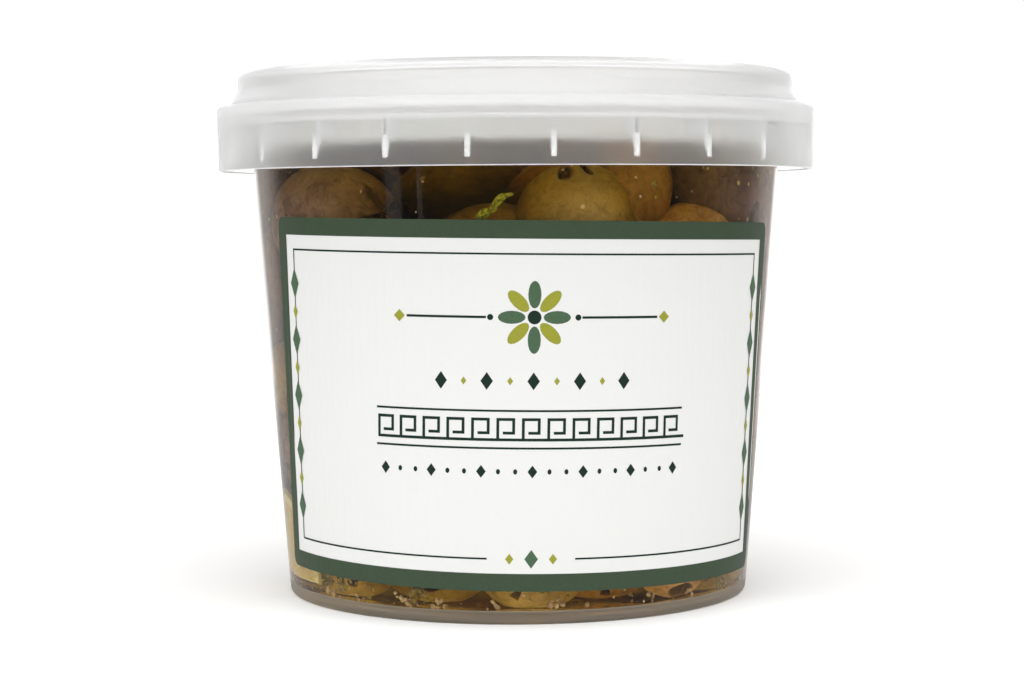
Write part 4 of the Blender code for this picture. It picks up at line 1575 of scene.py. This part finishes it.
@dataclass(frozen=True)
class LemonFlesh:
    """Lemon in oil: olive-yellow rind, cream pith and golden segments between thin pale walls."""

    rind: str = "#a88a28"
    pith: str = "#e0cf8c"
    flesh: str = "#c69e3e"
    juice: str = "#e0c26a"

    def build(self) -> bpy.types.Material:
        """Makes the material. It reads how far out and how far round the slice a point lies.

        Returns:
            The material.
        """
        material, tree = new_material("lemon_in_oil")
        place = add_node(tree, "ShaderNodeTexCoord").outputs["Object"]
        out, around = (
            add_node(tree, "ShaderNodeAttribute", {"attribute_name": name}).outputs["Fac"]
            for name in ("out", "around")
        )
        wave = add_node(tree, "ShaderNodeMath", {"operation": "PINGPONG", 1: 0.5}, in0=around)
        fibre = add_node(tree, "ShaderNodeTexNoise", {"Scale": 900.0, "Detail": 3.0}, Vector=place)
        juicy = {"data_type": "RGBA", 6: srgb(self.flesh), 7: srgb(self.juice)}
        colour = add_node(tree, "ShaderNodeMix", juicy, Factor=fibre.outputs["Fac"]).outputs[2]
        layers = (
            (wave.outputs["Value"], 0.075, 0.03, self.pith),
            (out, 0.82, 0.85, self.pith),
            (out, 0.915, 0.94, self.rind),
        )
        for source, start, end, tint in layers:
            span = {"From Min": start, "From Max": end}
            share = add_node(tree, "ShaderNodeMapRange", span, Value=source).outputs["Result"]
            layer = {"data_type": "RGBA", 7: srgb(tint)}
            colour = add_node(tree, "ShaderNodeMix", layer, in6=colour, Factor=share).outputs[2]
        relief = {"Strength": 0.4, "Distance": 0.2 * MM}
        bump = add_node(tree, "ShaderNodeBump", relief, Height=fibre.outputs["Fac"])
        sockets = {"Base_Color": colour, "Normal": bump.outputs["Normal"]}
        shader = add_node(tree, "ShaderNodeBsdfPrincipled", {"Roughness": 0.4}, **sockets)
        add_node(tree, "ShaderNodeOutputMaterial", Surface=shader.outputs["BSDF"])
        return material


@dataclass
class Lemon:
    """Half a lemon slice that lies flat against the wall, low on the left."""

    form: TubForm = FORM
    packing: Packing = field(default_factory=Packing)
    sides: int = 96
    segments: int = 9
    rings: tuple = (0.985, 0.945, 0.91, 0.86, 0.83, 0.7, 0.55, 0.4, 0.25, 0.1)

    def build(self) -> None:
        """Builds and dresses the slice."""
        packing = self.packing
        full = packing.lemon_radius
        slab = primitive(bpy.ops.mesh.primitive_circle_add, vertices=self.sides, radius=full)
        edit_all(slab)
        bpy.ops.mesh.select_mode(type="EDGE")
        last = 1.0
        for share in self.rings:
            bpy.ops.mesh.extrude_edges_move()
            ratio = share / last
            bpy.ops.transform.resize(value=(ratio, ratio, 1.0), center_override=(0.0, 0.0, 0.0))
            last = share
        bpy.ops.mesh.edge_face_add()
        bpy.ops.mesh.select_all(action="SELECT")
        bpy.ops.mesh.bisect(plane_co=(0.0, 0.0, 0.0), plane_no=(0.0, 1.0, 0.0), clear_inner=True)
        bpy.ops.mesh.select_all(action="SELECT")
        extrude(0.0, 0.0, packing.lemon_thickness)
        outward(slab)
        rim = slab.modifiers.new("rim", "BEVEL")
        rim.width = 0.5 * MM
        rim.segments = 3
        rim.limit_method = "ANGLE"
        apply_all(slab)
        back = -self.form.wall - 0.2 * MM - packing.lemon_thickness
        outs, turns = [], []
        for vert in slab.data.vertices:
            x, y, z = vert.co
            outs.append(math.hypot(x, y) / full)
            turns.append(math.atan2(y, x) / math.pi * self.segments)
            uneven = 0.12 * MM * math.sin(x * 900.0) * math.sin(y * 1100.0)
            vert.co = self.form.wrapped(x, y, back + z + uneven, packing.lemon_angle, packing.lemon_height)
        set_values(slab.data, "out", outs)
        set_values(slab.data, "around", turns)
        outward(slab)
        smooth(slab, 40.0)
        slab.name = "lemon_half_slice"
        dress(slab, LemonFlesh())
        publish(slab, "lemon", "lemon_slice")


@dataclass
class Garnish:
    """Garlic crumbs, herb flakes and one herb sprig in the oil, each kind joined into one piece.

    The rows of clumps hold an angle round the tub, a height in millimetres and a spread in degrees.
    """

    form: TubForm = FORM
    seed: int = 23
    variants: int = 3
    crumb_angles: tuple = (-52.0, -41.0, -27.5, -19.0, -6.0, 9.0, 33.0, 46.0, 95.0, 140.0, 188.0, 230.0)
    crumb_size: float = 1.5 * MM
    wall_crumbs: int = 150
    corner_crumbs: int = 60
    clumps: tuple = ((-50.0, 4.2, 5.0), (-24.0, 3.7, 2.2), (60.0, 3.5, 4.0), (150.0, 3.5, 6.0))
    clump_flakes: int = 16
    flakes: int = 90
    sprig_angle: float = -4.6
    sprig_height: float = 61.5 * MM

    def crumb(self, variant: int) -> bpy.types.Object:
        """Models an uneven crumb, about 1 unit in radius.

        Args:
            variant: Which of the uneven shapes it gets.

        Returns:
            The crumb.
        """
        item = primitive(bpy.ops.mesh.primitive_ico_sphere_add, subdivisions=3, radius=1.0)
        dent(item, "VORONOI", 0.8 + 0.2 * variant, 1.3, 0.6)
        apply_all(item)
        return item

    def flake(self, variant: int) -> bpy.types.Object:
        """Models a curled herb flake, about 1 unit in radius, with a raised middle vein.

        Args:
            variant: Which of the uneven shapes it gets.

        Returns:
            The flake.
        """
        item = primitive(bpy.ops.mesh.primitive_circle_add, vertices=14, radius=1.0, fill_type="TRIFAN")
        edit_all(item)
        bpy.ops.mesh.subdivide(number_cuts=1)
        leave_edit()
        for vert in item.data.vertices:
            x, y, _ = vert.co
            ragged = 1.0 + 0.16 * math.sin(7.0 * math.atan2(y, x) + variant)
            x, y = x * ragged, y * ragged * (0.42 + 0.12 * variant)
            vert.co = (x, y, 0.22 * x * x - 0.3 * abs(y) + 0.12 * math.sin(4.0 * x + variant))
        outward(item)
        thicken(item, 0.12)
        return item

    def scatter(self, patterns: list, places: list[Matrix], name: str, finish: SoftFood) -> None:
        """Copies patterns to places and joins them into one dressed piece.

        Args:
            patterns: Unit-sized objects, used in turn and then removed.
            places: A matrix for each copy.
            name: The piece's name.
            finish: The piece's finish.
        """
        copies = []
        for index, place in enumerate(places):
            copy = duplicate(patterns[index % len(patterns)])
            copy.data.transform(place)
            press_in(copy.data, self.form)
            copies.append(copy)
        discard(*patterns)
        piece = join(copies, name)
        dress(piece, finish)
        outward(piece)
        smooth(piece, 50.0)
        publish(piece, "olive_flesh", "olives")

    def at_wall(self, rng: random.Random, height: float, size: float, depth: float, angle: float) -> Matrix:
        """Works out a crumb's place by the wall, with a random turn and an uneven size.

        Args:
            rng: The source of chance.
            height: The crumb's height.
            size: Its size.
            depth: How far inside the bore its middle lies.
            angle: Its angle round the tub.

        Returns:
            The matrix that puts a unit crumb there.
        """
        place = Matrix.Translation(self.form.on_circle(angle, self.form.bore_radius(height) - depth, height))
        turn = Matrix.Rotation(rng.uniform(0.0, FULL_TURN), 4, "X")
        turn = turn @ Matrix.Rotation(rng.uniform(0.0, FULL_TURN), 4, "Y")
        uneven = Matrix.Diagonal((size * rng.uniform(0.8, 1.25), size, size * rng.uniform(0.5, 0.9), 1.0))
        return place @ turn @ uneven

    def flat_at_wall(
        self, rng: random.Random, height: float, size: float, depth: float, angle: float
    ) -> Matrix:
        """Works out a flake's place with its flat side to the wall, with a random turn.

        Args:
            rng: The source of chance.
            height: The flake's height.
            size: Its size.
            depth: How far inside the bore its middle lies.
            angle: Its angle round the tub.

        Returns:
            The matrix that puts a unit flake there.
        """
        place = Matrix.Translation(self.form.on_circle(angle, self.form.bore_radius(height) - depth, height))
        face = Matrix.Rotation(math.radians(angle), 4, "Z") @ Matrix.Rotation(math.radians(90.0), 4, "X")
        tip = Matrix.Rotation(rng.uniform(-0.5, 0.5), 4, "X")
        tip = tip @ Matrix.Rotation(rng.uniform(0.0, FULL_TURN), 4, "Z")
        return place @ face @ tip @ Matrix.Diagonal((size, size, size, 1.0))

    def garlic(self, rng: random.Random) -> None:
        """Adds the garlic: large crumbs in the floor's corner, and small ones there and by the wall.

        Args:
            rng: The source of chance.
        """
        form = self.form
        places = []
        for middle in self.crumb_angles:
            largest = rng.uniform(0.18, 0.4)
            for _ in range(rng.randint(4, 9)):
                size = self.crumb_size * rng.uniform(0.14, largest)
                angle = middle + rng.uniform(-1.6, 1.6)
                height = form.floor_top + size + self.crumb_size * rng.uniform(0.0, 0.9)
                places.append(self.at_wall(rng, height, size, size * 1.6, angle))
        for _ in range(self.corner_crumbs):
            size = rng.uniform(0.12, 0.36) * MM
            height = form.floor_top + size + 3.0 * MM * rng.random() ** 2
            places.append(self.at_wall(rng, height, size, size * 1.1, rng.uniform(0.0, 360.0)))
        for _ in range(self.wall_crumbs):
            size = rng.uniform(0.1, 0.3) * MM
            height = rng.uniform(form.floor_top + 3.0 * MM, 70.0 * MM)
            places.append(self.at_wall(rng, height, size, size * 1.05, rng.uniform(0.0, 360.0)))
        finish = SoftFood("garlic_in_oil", "#dfc292", "#a57c54", 0.9 * MM)
        self.scatter([self.crumb(k) for k in range(self.variants)], places, "garlic_crumbs", finish)

    def herbs(self, rng: random.Random) -> None:
        """Adds the herb flakes: clumps in the floor's corner, and single ones there and by the wall.

        Args:
            rng: The source of chance.
        """
        places = []
        for middle, height, spread in self.clumps:
            for _ in range(self.clump_flakes):
                angle = middle + rng.uniform(-spread, spread)
                size = rng.uniform(0.3, 0.8) * MM
                level = (height + rng.uniform(-0.9, 1.4)) * MM
                places.append(self.flat_at_wall(rng, level, size, 0.4 * MM, angle))
        for _ in range(self.flakes):
            size = rng.uniform(0.2, 0.55) * MM
            if rng.random() < 0.4:
                level = self.form.floor_top + MM * (0.6 + 2.5 * rng.random())
            else:
                level = rng.uniform(8.0, 69.0) * MM
            places.append(self.flat_at_wall(rng, level, size, 0.35 * MM, rng.uniform(0.0, 360.0)))
        finish = SoftFood("herb_in_oil", "#a0842a", "#544612", 0.4 * MM)
        self.scatter([self.flake(k) for k in range(self.variants)], places, "herb_flakes", finish)

    def sprig(self) -> None:
        """Adds the bright herb sprig at the front: a folded leaf that rises to the right."""
        item = primitive(bpy.ops.mesh.primitive_grid_add, x_subdivisions=28, y_subdivisions=8, size=2.0)
        for vert in item.data.vertices:
            along, over = vert.co.x, vert.co.y
            taper = (0.85 - 0.35 * along) * MM * (1.0 - along**2) ** 0.45
            half = taper * (1.0 + 0.3 * math.sin(7.0 * along))
            up = 1.75 * MM * along + 0.45 * MM * math.sin(3.2 * along) + half * over
            fold = -0.9 * MM * abs(over) * (1.0 - 0.5 * along)
            fold += 0.18 * MM * math.sin(9.0 * along + 2.0 * over)
            depth = fold - self.form.wall - 0.7 * MM
            vert.co = self.form.wrapped(3.0 * MM * along, up, depth, self.sprig_angle, self.sprig_height)
        thicken(item, 0.18 * MM)
        item.name = "herb_sprig"
        dress(item, SoftFood("bright_herb_in_oil", "#e6dc48", "#5f5f14", 0.45 * MM))
        outward(item)
        smooth(item, 60.0)
        publish(item, "olive_flesh", "olives")

    def build(self) -> None:
        """Builds and dresses the garlic, the herbs and the sprig."""
        rng = random.Random(self.seed)
        self.garlic(rng)
        self.herbs(rng)
        self.sprig()


@dataclass
class Oil:
    """The oil that fills the tub: its sides and floor reach just into the plastic."""

    form: TubForm = FORM
    into_wall: float = 0.25 * MM
    corner: float = 0.9 * MM

    def build(self) -> None:
        """Builds and dresses the oil."""
        form = self.form
        floor = form.floor_top - self.into_wall
        start = floor + self.corner
        bottom = form.bore_radius(floor) + self.into_wall
        points = [(CORE_RADIUS, floor)]
        points += arc(bottom - self.corner, start, self.corner, -90.0, 0.0, 5)
        for step in range(1, 7):
            height = start + (form.oil_level - start) * step / 6
            points.append((form.bore_radius(height) + self.into_wall, height))
        points.append((CORE_RADIUS, form.oil_level))
        oil = turned("oil", points)
        outward(oil, merged=True)
        smooth(oil)
        dress(oil, OliveOil())
        publish(oil, "olive_flesh")


class Lamp(NamedTuple):
    """A soft box that faces the tub: its place, its size, and its radiance, where the backdrop is 1."""

    name: str
    angle: float
    elevation: float
    distance: float
    size: tuple
    radiance: float
    feathered: bool = False


@dataclass
class Studio:
    """Plain pale floor, soft light and the camera, fitted to the tub's outline."""

    camera_distance: float = 366.2 * MM
    camera_height: float = 60.81 * MM
    pitch: float = 3.314
    roll: float = 0.308
    focal_pixels: float = 2262.0
    centre_x: float = 516.81
    image_width: int = 1024
    sensor: float = 36.0
    floor_radius: float = 1.1
    target_height: float = 40.0 * MM
    lamps: tuple = (
        Lamp("left_side_box", -140.0, 6.0, 1.0, (0.9, 0.9), 0.4, True),
        Lamp("left_limb_box", -163.0, 6.0, 1.0, (0.5, 0.9), 0.75, True),
        Lamp("right_side_box", 140.0, 6.0, 1.0, (0.9, 0.9), 0.4, True),
        Lamp("right_limb_box", 163.0, 6.0, 1.0, (0.5, 0.9), 0.95, True),
        Lamp("left_strip", -53.0, 8.0, 1.2, (0.16, 1.3), 0.8),
        Lamp("left_slit", -41.0, 8.0, 1.2, (0.05, 1.3), 0.8),
        Lamp("top_box", 0.0, 58.0, 0.9, (1.1, 0.8), 1.22),
    )

    def camera(self) -> None:
        """Adds the camera."""
        data = bpy.data.cameras.new("camera")
        data.sensor_width = self.sensor
        data.lens = self.focal_pixels * self.sensor / self.image_width
        data.shift_x = -(self.centre_x - self.image_width / 2.0) / self.image_width
        data.clip_start = 0.01
        item = bpy.data.objects.new("camera", data)
        item.location = (0.0, -self.camera_distance, self.camera_height)
        pitch = Matrix.Rotation(math.radians(90.0 - self.pitch), 4, "X")
        roll = Matrix.Rotation(math.radians(-self.roll), 4, "Z")
        item.rotation_euler = (pitch @ roll).to_euler()
        bpy.context.scene.collection.objects.link(item)
        bpy.context.scene.camera = item

    @staticmethod
    def feather(light: bpy.types.Light) -> None:
        """Fades a lamp's face towards its left and right edges, so that its reflection has no hard side.

        Args:
            light: The lamp's data.
        """
        light.use_nodes = True
        tree = light.node_tree
        tree.nodes.clear()
        face = add_node(tree, "ShaderNodeNewGeometry").outputs["Parametric"]
        across = add_node(tree, "ShaderNodeSeparateXYZ", Vector=face).outputs["X"]
        inside = add_node(tree, "ShaderNodeMath", {"operation": "PINGPONG", 1: 0.5}, in0=across)
        fade = {"interpolation_type": "SMOOTHSTEP", "From Max": 0.45, "To Max": 1.6}
        soft = add_node(tree, "ShaderNodeMapRange", fade, Value=inside.outputs["Value"])
        glow = add_node(tree, "ShaderNodeEmission", Strength=soft.outputs["Result"])
        add_node(tree, "ShaderNodeOutputLight", Surface=glow.outputs["Emission"])

    def light(self, lamp: Lamp) -> None:
        """Adds a soft box.

        Args:
            lamp: Its place, size and radiance.
        """
        data = bpy.data.lights.new(lamp.name, "AREA")
        data.shape = "RECTANGLE"
        data.size, data.size_y = lamp.size
        data.energy = lamp.radiance * math.pi * lamp.size[0] * lamp.size[1]
        if lamp.feathered:
            self.feather(data)
        item = bpy.data.objects.new(lamp.name, data)
        turn, rise = math.radians(lamp.angle), math.radians(lamp.elevation)
        level = math.cos(rise)
        away = Vector((math.sin(turn) * level, -math.cos(turn) * level, math.sin(rise)))
        item.location = Vector((0.0, 0.0, self.target_height)) + away * lamp.distance
        item.rotation_euler = away.to_track_quat("Z", "Y").to_euler()
        item.visible_camera = False
        bpy.context.scene.collection.objects.link(item)

    def floor(self) -> None:
        """Adds the floor, a pale disc that fades out into the white around it.

        Light that passes the plastic on its way meets a glowing floor, so that the contents are lit from
        below as by a white table, and a mirror image of the floor is dimmer than the floor.
        """
        deselect_all()
        bpy.ops.mesh.primitive_circle_add(vertices=96, radius=self.floor_radius, fill_type="NGON")
        item = bpy.context.object
        item.name = "floor"
        material, tree = new_material("pale_studio_floor")
        place = add_node(tree, "ShaderNodeTexCoord").outputs["Object"]
        length = add_node(tree, "ShaderNodeVectorMath", {"operation": "LENGTH"}, in0=place)
        edge = {"From Min": 0.16, "From Max": 0.5, "interpolation_type": "SMOOTHSTEP"}
        fade = add_node(tree, "ShaderNodeMapRange", edge, Value=length.outputs["Value"])
        matt = add_node(tree, "ShaderNodeBsdfDiffuse", {"Color": srgb("#fbfbfa")})
        path = add_node(tree, "ShaderNodeLightPath").outputs
        glow = {"To Min": 0.9, "To Max": 3.8}
        level = add_node(tree, "ShaderNodeMapRange", glow, Value=path["Diffuse Depth"])
        mirrored = {"To Min": 1.0, "To Max": 0.7}
        mirror = add_node(tree, "ShaderNodeMapRange", mirrored, Value=path["Is Glossy Ray"])
        both = {"in0": level.outputs["Result"], "in1": mirror.outputs["Result"]}
        strength = add_node(tree, "ShaderNodeMath", {"operation": "MULTIPLY"}, **both)
        lit = add_node(tree, "ShaderNodeEmission", Strength=strength.outputs["Value"])
        rays = {"in0": path["Is Transmission Ray"], "in1": path["Is Glossy Ray"]}
        indirect = add_node(tree, "ShaderNodeMath", {"operation": "MAXIMUM"}, **rays)
        looks = {"in1": matt.outputs["BSDF"], "in2": lit.outputs["Emission"]}
        table = add_node(tree, "ShaderNodeMixShader", Fac=indirect.outputs["Value"], **looks)
        clear = add_node(tree, "ShaderNodeBsdfTransparent")
        looks = {"in1": table.outputs["Shader"], "in2": clear.outputs["BSDF"]}
        mixed = add_node(tree, "ShaderNodeMixShader", Fac=fade.outputs["Result"], **looks)
        add_node(tree, "ShaderNodeOutputMaterial", Surface=mixed.outputs["Shader"])
        item.data.materials.append(material)

    def world(self) -> None:
        """Adds the surroundings: white where the camera looks, and a soft sky above a dimmer horizon."""
        world = bpy.data.worlds.new("studio")
        bpy.context.scene.world = world
        world.use_nodes = True
        tree = world.node_tree
        tree.nodes.clear()
        heading = add_node(tree, "ShaderNodeTexCoord").outputs["Generated"]
        parts = add_node(tree, "ShaderNodeSeparateXYZ", Vector=heading)
        sky = {"From Min": 0.1, "From Max": 0.75, "To Min": 0.36, "To Max": 1.15}
        rise = add_node(tree, "ShaderNodeMapRange", sky, Value=parts.outputs["Z"])
        path = add_node(tree, "ShaderNodeLightPath").outputs
        mirrored = {"To Min": 1.0, "To Max": 0.45}
        mirror = add_node(tree, "ShaderNodeMapRange", mirrored, Value=path["Is Glossy Ray"])
        both = {"in0": rise.outputs["Result"], "in1": mirror.outputs["Result"]}
        around = add_node(tree, "ShaderNodeMath", {"operation": "MULTIPLY"}, **both)
        glow = {"To Min": 1.35, "To Max": 2.3}
        inside = add_node(tree, "ShaderNodeMapRange", glow, Value=path["Diffuse Depth"])
        levels = {"in2": around.outputs["Value"], "in3": inside.outputs["Result"]}
        through = add_node(
            tree, "ShaderNodeMix", {"data_type": "FLOAT"}, Factor=path["Is Transmission Ray"], **levels
        )
        seen = {"data_type": "FLOAT", 3: 1.03}
        level = add_node(tree, "ShaderNodeMix", seen, Factor=path["Is Camera Ray"], in2=through.outputs[0])
        white = {"Color": srgb("#ffffff")}
        back = add_node(tree, "ShaderNodeBackground", white, Strength=level.outputs[0])
        add_node(tree, "ShaderNodeOutputWorld", Surface=back.outputs["Background"])

    def build(self) -> None:
        """Builds the camera, the floor, the surroundings and the lamps."""
        self.camera()
        self.floor()
        self.world()
        for lamp in self.lamps:
            self.light(lamp)
        scene = bpy.context.scene
        scene.view_settings.view_transform = "Standard"
        scene.cycles.max_bounces = 32
        scene.cycles.glossy_bounces = 16
        scene.cycles.transmission_bounces = 32


def main() -> None:
    logging.basicConfig(level=logging.INFO, format="%(name)s %(message)s")
    for builder in (Studio, Tub, Lid, Label, Olives, Lemon, Garnish, Oil):
        builder().build()


if __name__ == "__main__":
    main()
